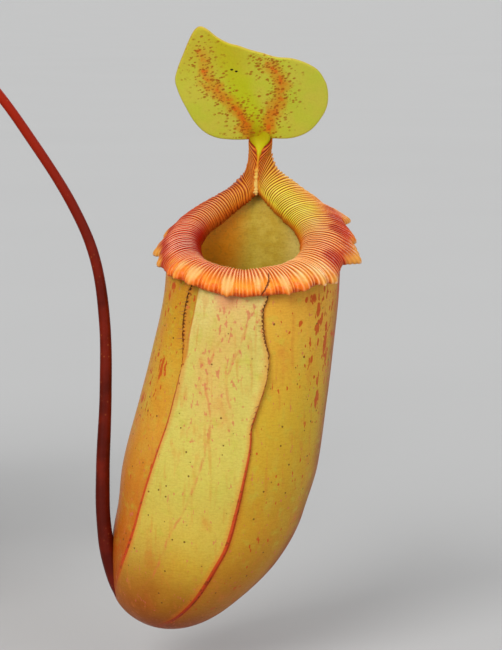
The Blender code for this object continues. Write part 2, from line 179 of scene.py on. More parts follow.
class Wire:
    # a socket, so that sums of sockets are written as sums
    __add__, __radd__ = bothWays("ADD")
    __sub__, __rsub__ = bothWays("SUBTRACT")
    __mul__, __rmul__ = bothWays("MULTIPLY")
    __truediv__, __rtruediv__ = bothWays("DIVIDE")
    __pow__, __rpow__ = bothWays("POWER")

    def __init__(self, maker, socket):
        self.maker, self.socket = maker, socket

    def __abs__(self):
        return self.maker.sum("ABSOLUTE", self)

    def step(self, low, high, start=0.0, end=1.0):
        return self.maker.node("ShaderNodeMapRange", {"interpolation_type": "SMOOTHSTEP"},
                               {0: self, 1: low, 2: high, 3: start, 4: end})

    def mix(self, factor, other, blend="MIX"):
        return self.maker.mix(factor, self, other, blend)

    def stretched(self, size, stretch):
        return self.maker.vector("MULTIPLY", self, tuple(1 / (size * s) for s in stretch))

    def noise(self, size, detail=2.0, roughness=0.5, stretch=(1, 1, 1)):
        # size is that of one swell, in millimetres, along an axis whose stretch is 1
        return self.maker.node("ShaderNodeTexNoise", None, {
            "Vector": self.stretched(size, stretch), "Scale": 1.0, "Detail": detail, "Roughness": roughness})

    def cells(self, size, stretch=(1, 1, 1), feature="F1"):
        return self.maker.node("ShaderNodeTexVoronoi", {"feature": feature},
                               {"Vector": self.stretched(size, stretch), "Scale": 1.0})


class Maker:
    # builds one node tree
    def __init__(self, tree):
        self.tree = tree

    def node(self, kind, settings=None, inputs=None, out=0):
        made = self.tree.nodes.new(kind)
        for key, value in (settings or {}).items():
            if key == "stops":
                ramp = made.color_ramp
                while len(ramp.elements) < len(value):
                    ramp.elements.new(0.5)
                for element, (place, colour) in zip(ramp.elements, value):
                    element.position, element.color = place, (*colour, 1)
            else:
                setattr(made, key, value)
        for key, value in (inputs or {}).items():
            socket = made.inputs[key]
            if isinstance(value, Wire):
                self.tree.links.new(value.socket, socket)
            elif hasattr(value, "__len__") and len(value) == 3 and len(socket.default_value) == 4:
                socket.default_value = (*value, 1)
            else:
                socket.default_value = value
        return Wire(self, made.outputs[out])

    def sum(self, operation, *terms):
        return self.node("ShaderNodeMath", {"operation": operation}, dict(enumerate(terms)))

    def vector(self, operation, *terms, out=0):
        return self.node("ShaderNodeVectorMath", {"operation": operation}, dict(enumerate(terms)), out)

    def scaled(self, vector, scale):
        return self.node("ShaderNodeVectorMath", {"operation": "SCALE"}, {0: vector, "Scale": scale})

    def joined(self, x, y, z=0.0):
        return self.node("ShaderNodeCombineXYZ", None, {0: x, 1: y, 2: z})

    def mix(self, factor, a, b, blend="MIX"):
        settings = {"data_type": "RGBA", "blend_type": blend}
        return self.node("ShaderNodeMix", settings, {0: factor, 6: a, 7: b}, 2)

    def marks(self, *names):
        # the mesh's own attributes of these names
        return [self.node("ShaderNodeAttribute", {"attribute_name": name}, out=2) for name in names]

    def place(self):
        # the piece's own coordinates, in millimetres
        return self.scaled(self.node("ShaderNodeTexCoord", out=3), 1 / mm)

    def larger(self, a, b):
        return self.sum("MAXIMUM", a, b)

    def named(self, name, kind="FLOAT"):
        # in a Geometry Nodes tree, the mesh's own attribute of this name
        return self.node("GeometryNodeInputNamedAttribute", {"data_type": kind}, {"Name": name})

    def random(self, low, high, seed):
        kind, first, out = ("FLOAT_VECTOR", 0, 0) if isinstance(low, tuple) else ("FLOAT", 2, 1)
        inputs = {first: low, first + 1: high, "Seed": seed}
        return self.node("FunctionNodeRandomValue", {"data_type": kind}, inputs, out)

    def ramp(self, value, *stops):
        return self.node("ShaderNodeValToRGB", {"stops": stops}, {"Fac": value})


def finish(name, build, fixed=None):
    # a Principled material; build(maker) gives colour, roughness and bump, and fixed holds what doesn't vary
    made = bpy.data.materials.new(name)
    made.use_nodes = True
    maker = Maker(made.node_tree)
    shader = made.node_tree.nodes["Principled BSDF"]
    for key, value in (fixed or {}).items():
        shader.inputs[key].default_value = value
    varied = dict(zip(("Base Color", "Roughness", "Normal"), build(maker)))
    if "Normal" in varied:
        height, distance, strength = varied["Normal"]
        varied["Normal"] = maker.node("ShaderNodeBump", None, {
            "Height": height, "Distance": distance * mm, "Strength": strength})
    for key, value in varied.items():
        made.node_tree.links.new(value.socket, shader.inputs[key])
    return made


def nodeGroup(name, inputs):
    # an empty Geometry Nodes tree with these named inputs, its maker and a wire from each input
    tree = bpy.data.node_groups.new(name, "GeometryNodeTree")
    tree.interface.new_socket(name="Geometry", in_out="INPUT", socket_type="NodeSocketGeometry")
    tree.interface.new_socket(name="Geometry", in_out="OUTPUT", socket_type="NodeSocketGeometry")
    for label, kind in inputs.items():
        tree.interface.new_socket(name=label, in_out="INPUT", socket_type="NodeSocket" + kind)
    maker = Maker(tree)
    source = tree.nodes.new("NodeGroupInput")
    return tree, maker, {s.name: Wire(maker, s) for s in source.outputs if s.name}


def closeGroup(tree, maker, geometry, material):
    whole = maker.node("GeometryNodeRealizeInstances", None, {0: geometry})
    painted = maker.node("GeometryNodeSetMaterial", None, {0: whole, "Material": material})
    tree.links.new(painted.socket, tree.nodes.new("NodeGroupOutput").inputs[0])


def withNodes(thing, tree, values):
    # runs a tree on an object with these inputs, and keeps the result as its mesh
    modifier = thing.modifiers.new(tree.name, "NODES")
    modifier.node_group = tree
    sockets = {s.name: s.identifier for s in tree.interface.items_tree if s.in_out == "INPUT"}
    for label, value in values.items():
        modifier[sockets[label]] = value
    return plain(thing)


# camera, lights and floor
studio = {
    "target": (227.1, -25.2, 105.2),  # the middle of the front pitcher
    "azimuth": 0, "elevation": 8, "distance": 724.5, "lens": 135, "sensor": 36, "clip": (0.01, 500),
    "floor": 60000, "floorColours": ((0.47, 0.47, 0.465), (0.49, 0.49, 0.485)), "floorRoughness": 0.95,
    "world": (0.97, 0.98, 1.0), "worldStrength": 0.5,
    "lights": (  # degrees to the right of the front and above the floor, degrees across and strength
        (-30, 34, 30, 1.9), (48, 20, 50, 0.5), (158, 40, 45, 1.0),
    ),
    "lit": (0, 0, 100), "lightDistance": 1000,
}


def aimed(thing, place, aim):
    thing.location = [x * mm for x in place]
    bpy.context.scene.collection.objects.link(thing)
    thing.rotation_euler = Vector(np.array(aim, float) - place).to_track_quat("-Z", "Y").to_euler()


def around(target, azimuth, elevation, distance):
    azimuth, elevation = math.radians(azimuth), math.radians(elevation)
    level = math.cos(elevation)
    way = np.array((math.sin(azimuth) * level, -math.cos(azimuth) * level, math.sin(elevation)))
    return np.array(target, float) + distance * way


def floorFinish(maker):
    return (maker.mix(maker.place().noise(300), *studio["floorColours"]),)


def buildStudio():
    lens = bpy.data.cameras.new("camera")
    lens.lens, lens.sensor_width = studio["lens"], studio["sensor"]
    lens.clip_start, lens.clip_end = studio["clip"]
    camera, target = bpy.data.objects.new("camera", lens), studio["target"]
    aimed(camera, around(target, studio["azimuth"], studio["elevation"], studio["distance"]), target)
    bpy.context.scene.camera = camera
    for number, (azimuth, elevation, wide, strength) in enumerate(studio["lights"]):
        light = bpy.data.lights.new(f"soft_light_{number + 1}", "SUN")
        light.angle, light.energy = math.radians(wide), strength
        place = around(studio["lit"], azimuth, elevation, studio["lightDistance"])
        aimed(bpy.data.objects.new(light.name, light), place, studio["lit"])
    world = bpy.data.worlds.new("studio")
    world.use_nodes = True
    background = world.node_tree.nodes["Background"]
    background.inputs["Color"].default_value = (*studio["world"], 1)
    background.inputs["Strength"].default_value = studio["worldStrength"]
    bpy.context.scene.world = world
    bpy.context.scene.view_settings.view_transform = "Standard"
    half = studio["floor"] * mm
    data = bpy.data.meshes.new("studio_floor")
    corners = [(-half, -half, 0), (half, -half, 0), (half, half, 0), (-half, half, 0)]
    data.from_pydata(corners, [], [(0, 1, 2, 3)])
    data.materials.append(finish("pale floor", floorFinish, {"Roughness": studio["floorRoughness"]}))
    added("studio_floor", data)


# where the leaves and pitchers are
leafPlan = {
    "firstAzimuth": 24.5, "goldenAngle": 137.5, "firstHeight": 122.0, "internode": 7.2,
    "root": 5.8, "sheathAngle": 38.0, "sheathShare": 0.16, "fold": 0.3, "curl": 0.34, "thickness": 1.0,
    "leaves": (  # length, half width, pitch at the stem and at the tip, and share of a full tendril
        (132, 22, 52, -46, 0.78), (150, 24, 66, -36, 0.8), (148, 24, 54, -38, 1.00), (144, 23, 60, -34, 0.42),
        (150, 24, 58, -34, 1.1), (156, 24, 76, -42, 1.00), (130, 21, 74, -16, 0.75), (104, 16, 80, 8, 0.55),
    ),
    "outline": ((0.0, 0.26), (0.1, 0.22), (0.22, 0.44), (0.42, 0.88), (0.58, 1.0), (0.78, 0.84), (0.92, 0.46),
                (0.97, 0.24), (1.0, 0.07)),
    "wave": 0.05, "waves": 2.2, "veins": (0.42, 0.66, 0.85), "veinHeight": 0.07, "veinWidth": 0.03,
    "midrib": 1.3, "midribWidth": 0.1, "groove": 0.5, "grooveWidth": 0.06, "edge": 0.86,
    "steps": 96, "across": 22,
}
pitcherPlan = {
    "leafTurn": 8.0,  # a pitcher faces this far ahead of its leaf
    "tipToPitcher": (98.4, -4.1, -183.0),
    "carriers": {6: "pitcher_1", 2: "pitcher_2", 4: "young_pitcher"},
}


def leafAt(number):
    length, halfWidth, start, end, load = leafPlan["leaves"][number - 1]
    azimuth = math.radians(leafPlan["firstAzimuth"] + leafPlan["goldenAngle"] * (number - 1))
    return {
        "number": number, "length": length, "halfWidth": halfWidth, "load": load, "azimuth": azimuth,
        "start": math.radians(start), "end": math.radians(end),
        "height": leafPlan["firstHeight"] + leafPlan["internode"] * (number - 1),
        "out": np.array((math.cos(azimuth), math.sin(azimuth), 0)),
        "side": np.array((-math.sin(azimuth), math.cos(azimuth), 0)),
    }


def leafLine(leaf, u):
    # the midrib's point, its direction and the direction above it, at a share u of the length
    u = np.asarray(u, float)
    pitch = (leaf["start"] + (leaf["end"] - leaf["start"]) * u)[..., None]
    scale = leaf["length"] / (leaf["start"] - leaf["end"])
    reach = leafPlan["root"] + scale * (math.sin(leaf["start"]) - np.sin(pitch))
    rise = leaf["height"] + scale * (np.cos(pitch) - math.cos(leaf["start"]))
    up = np.array((0, 0, 1.0))
    return (leaf["out"] * reach + up * rise, leaf["out"] * np.cos(pitch) + up * np.sin(pitch),
            up * np.cos(pitch) - leaf["out"] * np.sin(pitch))


def pitcherAt(leaf):
    turn = leaf["azimuth"] + math.radians(pitcherPlan["leafTurn"])
    cos, sin = math.cos(turn), math.sin(turn)
    rotate = np.array(((cos, -sin, 0), (sin, cos, 0), (0, 0, 1)))
    tip = leafLine(leaf, 1.0)[0]
    origin = tip + rotate @ (np.array(pitcherPlan["tipToPitcher"]) * leaf["load"])
    return {"origin": origin, "rotate": rotate, "scale": leaf["load"]}


def placed(pitcher, local):
    return pitcher["origin"] + (np.asarray(local, float) * pitcher["scale"]) @ pitcher["rotate"].T


def faced(points):
    # turns the mouth to the way that the pitcher faces
    turn = math.radians(mouth["yaw"])
    x, y, z = np.moveaxis(np.asarray(points, float), -1, 0)
    return stack(x * math.cos(turn) - y * math.sin(turn), x * math.sin(turn) + y * math.cos(turn), z)


# the lip round the mouth
mouth = {
    "yaw": -8.0,
    "stations": (  # inner and outer edge, from the front of the mouth to the top of the neck
        ((0.0, -15.5, 109.0), (0.0, -28.3, 104.6)), ((9.6, -12.5, 110.2), (17.0, -24.0, 106.1)),
        ((13.4, -7.0, 112.2), (24.6, -15.0, 108.2)), ((14.9, -0.5, 115.6), (27.9, -4.0, 113.4)),
        ((13.3, 6.0, 118.9), (26.5, 7.0, 118.9)), ((10.2, 11.5, 121.8), (22.0, 14.0, 123.0)),
        ((6.7, 15.5, 124.6), (16.4, 18.8, 126.6)), ((3.3, 18.3, 127.4), (11.2, 22.0, 129.6)),
        ((0.35, 19.8, 130.2), (7.4, 23.8, 132.3)), ((0.1, 21.0, 134.0), (4.7, 24.6, 136.4)),
        ((0.05, 22.0, 139.0), (3.8, 25.0, 141.5)), ((1.1, 22.6, 143.4), (3.9, 24.6, 145.6)),
    ),
    "trim": (  # how far the outer edge strays sideways and upwards from that
        (-11, (0.9, 0.3)), (-10, (1.2, 0)), (-9, (1.7, 0)), (-8, (0.6, 0)), (-7, (1.1, -0.4)),
        (-5.5, (0.6, -0.6)), (-4.4, (0.3, -0.3)), (-3.4, (0.2, 0)), (-2.5, (0.2, 0.3)), (-1.9, (0, 1.5)),
        (-1.4, (0, 2.3)), (-0.95, (0, 2.0)), (-0.6, (0, 0.5)), (-0.3, (0, 0)), (1.0, (0, 0.2)),
        (1.35, (0, 1.2)), (1.8, (0, 0.4)), (2.2, (-0.4, 0.2)), (2.7, (-1.2, 0.2)), (3.2, (-0.9, 0)),
        (4, (-0.2, 0)), (5.2, (0, 0.2)), (6, (0.4, 0.5)), (7, (1.35, 0.9)), (8, (2.3, 0.9)),
        (9, (1.1, 0.3)), (10, (-0.4, 0)), (11, (-0.8, 0.3)),
    ),
    "innerTrim": (  # how far the inner edge strays sideways
        (-11, 0), (-9, 0), (-8, -0.5), (-7.2, -0.9), (-6.2, -1.9), (-5.3, -1.8), (-4.5, -1.9), (-3.7, -1.2),
        (-3, -0.7), (-2, -0.2), (-1, 0), (1, 0), (2.3, 0.8), (3, 0.3), (4, 0), (5.3, -0.7), (6.2, -0.6),
        (7.2, 0.1), (8, 0.5), (9, 0), (11, 0),
    ),
    "shift": ((0, 0.0), (6, 0.0), (7, -0.55), (8, -1.0), (9, -1.2), (10, -0.9), (11, -0.5)),
    "sideways": 1.8, "bulge": ((0, 3.0), (1.5, 3.3), (3, 4.3), (5, 4.6), (7, 3.6), (9, 2.1), (11, 1.1)),
    "sweep": ((6, 0.0), (8, 0.5), (9.5, 0.9), (11, 0.9)),  # how far the ribs lean along the neck
    "wall": 0.8, "ribSpacing": 0.93, "ribHeight": 0.28, "perRib": 8, "rollIn": 42, "rollOut": 24,
    "lobes": (  # station, half width in ribs, and how far it stands out
        (-1.72, 2.0, 0.6), (-1.36, 1.9, 0.8), (-0.92, 2.6, 1.0), (-0.58, 1.4, 0.35), (-0.28, 2.0, 1.0),
        (-0.05, 1.2, 0.3), (0.1, 1.1, 0.4), (0.24, 1.5, 0.9), (0.44, 1.2, 0.45), (0.68, 1.7, 1.0),
        (1.04, 1.5, 0.8), (1.16, 1.5, 0.5), (1.48, 2.6, 1.0), (1.86, 2.2, 0.8), (2.2, 2.0, 0.5),
        (-2.1, 2.2, 0.5),
    ),
    "teeth": (  # station, half width in ribs, and length
        (-3.85, 2.6, 3.0), (-3.22, 3.2, 3.9), (-2.62, 2.6, 2.4), (-1.72, 2.2, 1.0), (-1.36, 2.0, 1.4),
        (-0.92, 2.4, 1.3), (-0.58, 1.6, 0.7), (-0.28, 2.0, 1.1), (0.1, 1.4, 0.6), (0.44, 1.5, 0.7),
        (0.68, 1.9, 1.2), (1.0, 1.8, 0.9), (1.46, 2.4, 2.0), (1.9, 2.6, 2.1), (3.12, 4.6, 5.2),
        (3.75, 3.8, 2.4), (5.0, 4.0, 5.2),
    ),
    "lobeHeight": 0.8, "lobePower": 0.8, "scallop": 1.0, "split": 0.49,
    "toothPower": 1.05, "longTooth": 1.9, "flapLift": 0.9, "flapTooth": 2.6,  # a long tooth makes a flap
    "leanBack": 2.3, "leanPower": 2.4,  # how the inner ends of the ribs lean the other way
    "innerTeeth": ((0, 0.3), (4, 0.45), (6, 0.7), (8, 0.7), (11, 0.4)),
    "outerTeeth": ((0, 0.4), (3, 0.35), (5, 0.2), (7, 0.3), (9, 0.45), (11, 0.7)),
    "density": ((6, 1.0), (7.5, 1.2), (8.8, 1.25), (9.8, 0.8), (11, 0.65)),  # ribs for the length
    "keen": ((-11, 0.7), (-8, 0.9), (-4, 1.0), (-1, 0.9), (1, 0.6), (2.5, 0.4), (5, 0.15), (8, 0.2),
             (11, 0.5)),
    # pools of the darkest red, partly painted shade between the flaps
    "pools": ((4.25, 0.75, 0.42, 0.18), (3.65, 0.7, 0.22, 0.15), (2.45, 0.74, 0.28, 0.2)),  # the darkest red
    "toothLine": (0.85, -0.5), "lobeLine": (0.5, 0.8), "innerLine": (0.8, 0.6),  # shares outward and up
    "hangs": (120, 58), "flaps": (122, 40), "pointed": (165, 14),  # a turn and the width of the change
    "lobeTurns": (146, 34), "flapTurns": (168, 30), "innerTurns": (-4, 20),  # a turn and its half width
    "frontEnd": (3, 1.5), "spikes": (0.6, 0.8), "crests": (0.72, 0.5),  # least and random share
    "flattened": 0.6, "ribSeed": 5, "samples": 4001, "crestTurn": 80.0,
    "waver": ((0.22, 0.61, 0), (0.12, 1.37, 2)),  # the ribs' unevenness: ribs, radians for each rib and start
    "topTurns": (20, 110, 117, 14), "underTurns": 9,  # points up to 110 degrees, from 117 on and underneath
    "colours": {  # by station, from the left of the neck by the front to its right
        "inner": ((-11, (0.62, 0.12, 0.006)), (-8.5, (0.78, 0.24, 0.01)), (-6.5, (0.82, 0.27, 0.015)),
                  (-4.8, (0.84, 0.24, 0.03)), (-3.4, (0.78, 0.06, 0.01)), (-2.4, (0.58, 0.015, 0.003)),
                  (-1.2, (0.92, 0.1, 0.012)), (0, (1.0, 0.21, 0.018)), (1.4, (1.0, 0.34, 0.05)),
                  (2.3, (0.9, 0.27, 0.025)), (3.1, (0.8, 0.19, 0.014)), (3.9, (0.78, 0.44, 0.02)),
                  (4.8, (0.84, 0.72, 0.03)), (6.6, (0.9, 0.8, 0.05)), (8.0, (0.86, 0.6, 0.04)),
                  (9.4, (0.64, 0.15, 0.006)), (11, (0.56, 0.09, 0.005))),
        "outer": ((-11, (0.46, 0.12, 0.006)), (-8.5, (0.54, 0.13, 0.006)), (-6.2, (0.5, 0.065, 0.006)),
                  (-4.2, (0.56, 0.035, 0.006)), (-2.6, (0.84, 0.1, 0.014)), (-1.0, (1.0, 0.21, 0.018)),
                  (0, (1.0, 0.32, 0.025)), (0.7, (0.94, 0.24, 0.02)), (1.6, (0.96, 0.32, 0.04)),
                  (2.8, (0.92, 0.22, 0.028)), (4.2, (0.88, 0.15, 0.018)), (5.6, (0.92, 0.3, 0.03)),
                  (7.5, (0.88, 0.44, 0.035)), (9, (0.66, 0.22, 0.012)), (11, (0.5, 0.11, 0.006))),
        # the colours of the painted highlight along the rib tops
        "crests": ((-11, (0.7, 0.3, 0.04)), (-7, (0.88, 0.42, 0.08)), (-4.5, (1.0, 0.62, 0.28)),
                   (-2.6, (1.0, 0.74, 0.52)), (-1, (1.0, 0.58, 0.26)), (1, (1.0, 0.78, 0.42)),
                   (2.6, (1.0, 0.74, 0.36)), (4.6, (0.9, 0.7, 0.2)), (7.5, (0.86, 0.66, 0.12)),
                   (9.5, (0.78, 0.34, 0.04)), (11, (0.66, 0.24, 0.02))),
    },
}
lastStation = len(mouth["stations"]) - 1


def lipFrame(s):
    # inner edge, outer edge and height of the lip at station s, negative on the left
    s = np.asarray(s, float)
    flip = np.where(s < 0, -1.0, 1.0)[..., None] * np.array((1, 0, 0)) + np.array((0, 1, 1))
    inner, outer = (curve([(i, pair[side]) for i, pair in enumerate(mouth["stations"])], abs(s)) * flip
                    for side in (0, 1))
    outer[..., 0] += mouth["sideways"] * ease((lastStation - 2 - abs(s)) / 5)
    outer[..., (0, 2)] += curve(mouth["trim"], s)
    inner[..., 0] += curve(mouth["innerTrim"], s)
    for edge in (inner, outer):
        edge[..., 0] += curve(mouth["shift"], abs(s))
    return faced(inner), faced(outer), curve(mouth["bulge"], abs(s))


def lipAxes(s):
    inner, outer, bulge = lipFrame(s)
    ahead, behind = (lipFrame(np.clip(s + d, -lastStation, lastStation)) for d in (0.2, -0.2))
    run = unit((ahead[0] + ahead[1]) - (behind[0] + behind[1]))
    up = unit(np.cross(outer - inner, run))
    return (inner + outer) / 2, (outer - inner) / 2, up, bulge


def lipSurface(s, turn, under=0.0):
    # a point of the lip: turn is 0 at the inner edge, 90 on the crest and 180 at the outer edge
    middle, half, up, bulge = lipAxes(s)
    turn = np.radians(turn)
    width = np.linalg.norm(half, axis=-1)
    return (middle - half * (np.cos(turn) * (1 - under / width))[..., None]
            + up * (np.sin(turn) * (bulge - under))[..., None])


def ribPlaces():
    # stations along the crest, a fixed number for each rib, and how many ribs have passed at each
    dense = np.linspace(-lastStation, lastStation, mouth["samples"])
    crest = lipSurface(dense, np.full(dense.shape, mouth["crestTurn"]))
    steps = np.linalg.norm(np.diff(crest, axis=0), axis=1) * curve(mouth["density"], abs(dense[1:]))
    run = np.concatenate([[0], np.cumsum(steps)])
    ribs = round(run[-1] / mouth["ribSpacing"])
    phase = run / run[-1] * ribs
    phase = phase + sum(size * np.sin(phase * rate + start) for size, rate, start in mouth["waver"])
    phase = (phase - phase[0]) / (phase[-1] - phase[0]) * ribs
    at = np.linspace(0, ribs, ribs * mouth["perRib"] + 1)
    return np.interp(at, phase, dense), at, dense, phase


def ribTree():
    tree, maker, given = nodeGroup("ribs across the lip", {"Rib Height": "Float", "Rib Material": "Material"})
    groove, keen = abs(maker.sum("COSINE", maker.named("rib") * math.pi)), maker.named("keen")
    shape = (1 - groove) * keen + (1 - groove ** 3) * (1 - keen)
    lift = shape * maker.named("crest") * given["Rib Height"]
    offset = maker.scaled(maker.node("GeometryNodeInputNormal"), lift)
    raised = maker.node("GeometryNodeSetPosition", None, {0: given["Geometry"], "Offset": offset})
    closeGroup(tree, maker, raised, given["Rib Material"])
    return tree


def buildLip(pitcher, name, tree, material):
    s, rib, dense, phase = ribPlaces()
    rollIn, rollOut = mouth["rollIn"], mouth["rollOut"]
    over, crestEnd, flapStart, beyond = mouth["topTurns"]
    end = 180 + rollOut
    turnTop = np.concatenate([np.linspace(-rollIn, crestEnd, over), np.linspace(flapStart, end, beyond)])
    turnUnder = np.linspace(end - 4, -rollIn + 4, mouth["underTurns"])
    turn = np.concatenate([turnTop, turnUnder])[None]
    under = np.concatenate([np.zeros(len(turnTop)), np.full(len(turnUnder), mouth["wall"])])[None]
    isTop = (under == 0).astype(float)
    lean = np.minimum(curve(mouth["sweep"], abs(s)), 0.6 * (lastStation - abs(s))) * np.sign(s)
    stations = s[:, None] + lean[:, None] * (
        1 - mouth["leanBack"] * (1 - np.clip(turn, 0, 180) / 180) ** mouth["leanPower"])
    turns = np.broadcast_to(turn, stations.shape)
    points = lipSurface(stations, turns, np.broadcast_to(under, turns.shape))
    _, half, up, _ = lipAxes(stations)

    def passed(station):
        return rib - np.interp(station, dense, phase)

    def towards(what):
        out, rise = mouth[what]
        return unit(unit(half) * out + up * rise)

    def pastTurn(what):
        start, width = mouth[what]
        return ease((turn - start) / width)

    def varied(what):
        least, share = mouth[what]
        return least + share * random

    lobe, tooth, side, tip = (np.zeros(len(s)) for _ in range(4))
    for station, width, height in mouth["lobes"]:
        dome = np.clip(1 - (passed(station) / width) ** 2, 0, 1)
        lobe = np.maximum(lobe, height * dome ** mouth["lobePower"])
    for station, width, length in mouth["teeth"]:
        away = passed(station) / width
        grown = length * np.clip(1 - abs(away) ** mouth["toothPower"], 0, 1) ** mouth["toothPower"]
        side = np.where(grown > tooth, 0.5 + 0.5 * away * np.sign(station), side)
        tooth = np.maximum(tooth, grown)
        tip = np.maximum(tip, (length > mouth["longTooth"]) * np.clip(1 - abs(away) * 3.2, 0, 1))
    lobe, tooth, side = lobe[:, None], tooth[:, None], side[:, None]
    wave = abs(np.cos(math.pi * rib))[:, None]
    count = int(rib[-1]) + 1
    random = np.random.default_rng(mouth["ribSeed"]).uniform(0, 1, count + 1)
    random = random[np.minimum(rib.astype(int), count)][:, None]
    hang = pastTurn("hangs") * (1 - ease((turn - 182) / (rollOut - 2)))
    last, width = mouth["frontEnd"]
    front = ease((last - abs(s)) / width)[:, None]
    spike = (1 - wave) * varied("spikes") * isTop
    reach = (tooth + mouth["scallop"] * (lobe - 0.7) * front
             + curve(mouth["outerTeeth"], abs(s))[:, None] * spike * np.clip(1 - tooth / 2, 0.2, 1)) * hang
    flap = np.clip(tooth / mouth["flapTooth"], 0, 1) * pastTurn("flaps")
    rise = (mouth["lobeHeight"] * (lobe - 0.3) * front * hill(turn, *mouth["lobeTurns"])
            + mouth["flapLift"] * flap * side * hill(turn, *mouth["flapTurns"])) * isTop
    into = curve(mouth["innerTeeth"], abs(s))[:, None] * spike * hill(turn, *mouth["innerTurns"])
    points = points + (towards("toothLine") * reach[..., None] + towards("lobeLine") * rise[..., None]
                       - towards("innerLine") * into[..., None])
    crest = isTop * ease((turn + rollIn) / 20) * ease((end - turn) / 22) * varied("crests")
    flat = mouth["flattened"]
    crest = crest * (1 - flat * flap) * (1 - flat * front * ease((turn - 100) / 45))
    made = loft(name, placed(pitcher, points), {
        "rib": rib[:, None], "station": s[:, None], "across": turn / 180, "crest": crest, "top": isTop,
        "lobe": lobe * front, "flap": flap, "tip": tip[:, None] * pastTurn("pointed"), "tone": random,
        "keen": curve(mouth["keen"], s)[:, None],
        "split": passed(mouth["split"])[:, None] * mouth["ribSpacing"],
    })
    height = mouth["ribHeight"] * pitcher["scale"] * mm
    made = withNodes(made, tree, {"Rib Height": height, "Rib Material": material})
    made.data.shade_smooth()
    return made


def lipFinish(maker):
    s, across, lobe, flap, rib = maker.marks("station", "across", "lobe", "flap", "rib")
    top, keen, tone, tip, split = maker.marks("top", "keen", "tone", "tip", "split")
    place = maker.place()
    mottle, fine = place.noise(4.0, 3), place.noise(0.8, 2)
    whole = 2 * lastStation

    def byStation(what):
        stops = ((at / whole + 0.5, colour) for at, colour in mouth["colours"][what])
        return maker.ramp(s / whole + 0.5, *stops)

    inner, outer = byStation("inner"), byStation("outer")
    leftArm = s.step(-2.6, -4.6)
    colour = maker.mix((across + (mottle - 0.5) * 0.25 + leftArm * 0.16).step(0.38, 0.74), inner, outer)
    # pale rib bundles round the front and red between them, with a painted highlight on the lobes that stand
    # out
    front = s.step(-2.9, -1.8) * s.step(3.0, 2.0)
    streak = maker.joined(rib * 0.55, across * 2.5).noise(1.0, 3)
    low = across.step(0.55, 0.8) * front
    colour = colour.mix(low * streak.step(0.38, 0.6) * 0.8, (1.0, 0.4, 0.04))
    colour = colour.mix(low * streak.step(0.44, 0.3) * 0.7, (0.86, 0.16, 0.01))
    # painted highlight on the raised lobes towards the outer edge
    lobeHighlight = (lobe - across * 1.6 + (fine - 0.5) * 0.4).step(-0.7, -0.35) * across.step(0.5, 0.75) * front
    colour = colour.mix(lobeHighlight * across.step(1.03, 0.94) * 0.7, (1.0, 0.64, 0.22))
    hem = (across + (streak - 0.5) * 0.7 + (fine - 0.5) * 0.3).step(0.84, 0.98) * front * (1 - lobeHighlight * 0.7)
    colour = colour.mix(hem * 0.85, (0.95, 0.17, 0.01))
    # deep red at the outer margin of the sides, partly painted shade between the flaps, orange flaps standing
    # out of it
    sides = abs(s).step(1.6, 2.6) * abs(s).step(6.4, 4.8)
    deep = sides * (across + (mottle - 0.5) * 0.35).step(0.62, 0.86)
    colour = colour.mix(deep * 0.92, (0.44, 0.014, 0.002))
    leafy = flap.step(0.25, 0.65) * across.step(0.78, 0.92)
    colour = colour.mix(leafy * 0.95, (0.9, 0.4, 0.06))
    # pools of the darkest red, partly painted shade between the flaps
    for station, far, wide, tall in mouth["pools"]:
        away = ((s - station) / wide) ** 2 + ((across - far) / tall) ** 2 + (mottle - 0.5) * 1.2
        colour = colour.mix(away.step(5, 1) * 0.4, (0.8, 0.09, 0.01))
        pool = away.step(1.5, 0.3)
        deep = maker.larger(deep, pool)
        colour = colour.mix(pool * 0.9, (0.5, 0.012, 0.001))
    colour = colour.mix(across.step(0.98, 1.05) * (1 - flap) * 0.7, (0.6, 0.07, 0.012))
    # painted shade in the grooves between the ribs, and a painted highlight along their tops
    wave = abs(maker.sum("COSINE", rib * math.pi))
    outside = across.step(0.58 - front * 0.06, 0.9 - front * 0.12)
    fading = outside * (0.5 + front * s.step(1.5, 0.8, -0.3, 0.3))
    shallow = (1 - fading) * (1 - flap * 0.7) * top
    colour = colour.mix((tone - 0.5) * 0.3 + 0.15, (0.78, 0.55, 0.45), "MULTIPLY")
    # painted shade darkening each groove
    dark = wave.step(0.62, 0.94) * shallow * (1 - front * 0.2)
    colour = colour.mix(dark * (0.98 - keen * 0.15), (0.34, 0.08, 0.03), "MULTIPLY")
    # painted highlight along each rib top, in the crest colours, weaker on the outer left
    line = (wave + keen * 0.24).step(0.74, 0.36) * shallow * across.step(0.06, 0.24) * (1 - deep * 0.66)
    dusk = across.step(0.34, 0.62) * leftArm
    colour = colour.mix(line * (0.42 + keen * 0.46) * (1 - dusk * 0.7), byStation("crests"))
    # the inner edge
    colour = colour.mix(across.step(0.14, 0.0) * 0.85, (0.6, 0.1, 0.008))
    corner = s.step(-4.8, -3.4) * s.step(-1.0, -2.4) * (across + (mottle - 0.5) * 0.2).step(0.4, 0.14)
    colour = colour.mix(corner * 0.92, (0.4, 0.01, 0.002))
    blush = place.noise(6.0, 2).step(0.55, 0.68) * across.step(0.5, 0.85)
    colour = colour.mix(blush * 0.3, (0.66, 0.06, 0.01))
    crack = abs(split + (across - 0.55) * 5.0 + (fine - 0.5) * 0.5).step(0.26, 0.12)
    colour = colour.mix(crack * across.step(0.5, 0.6) * top * 0.9, (0.12, 0.02, 0.003))
    colour = colour.mix(tip.step(0.35, 0.8), (0.92, 0.52, 0.26))
    return colour, mottle.step(0.2, 0.8, 0.28, 0.4)


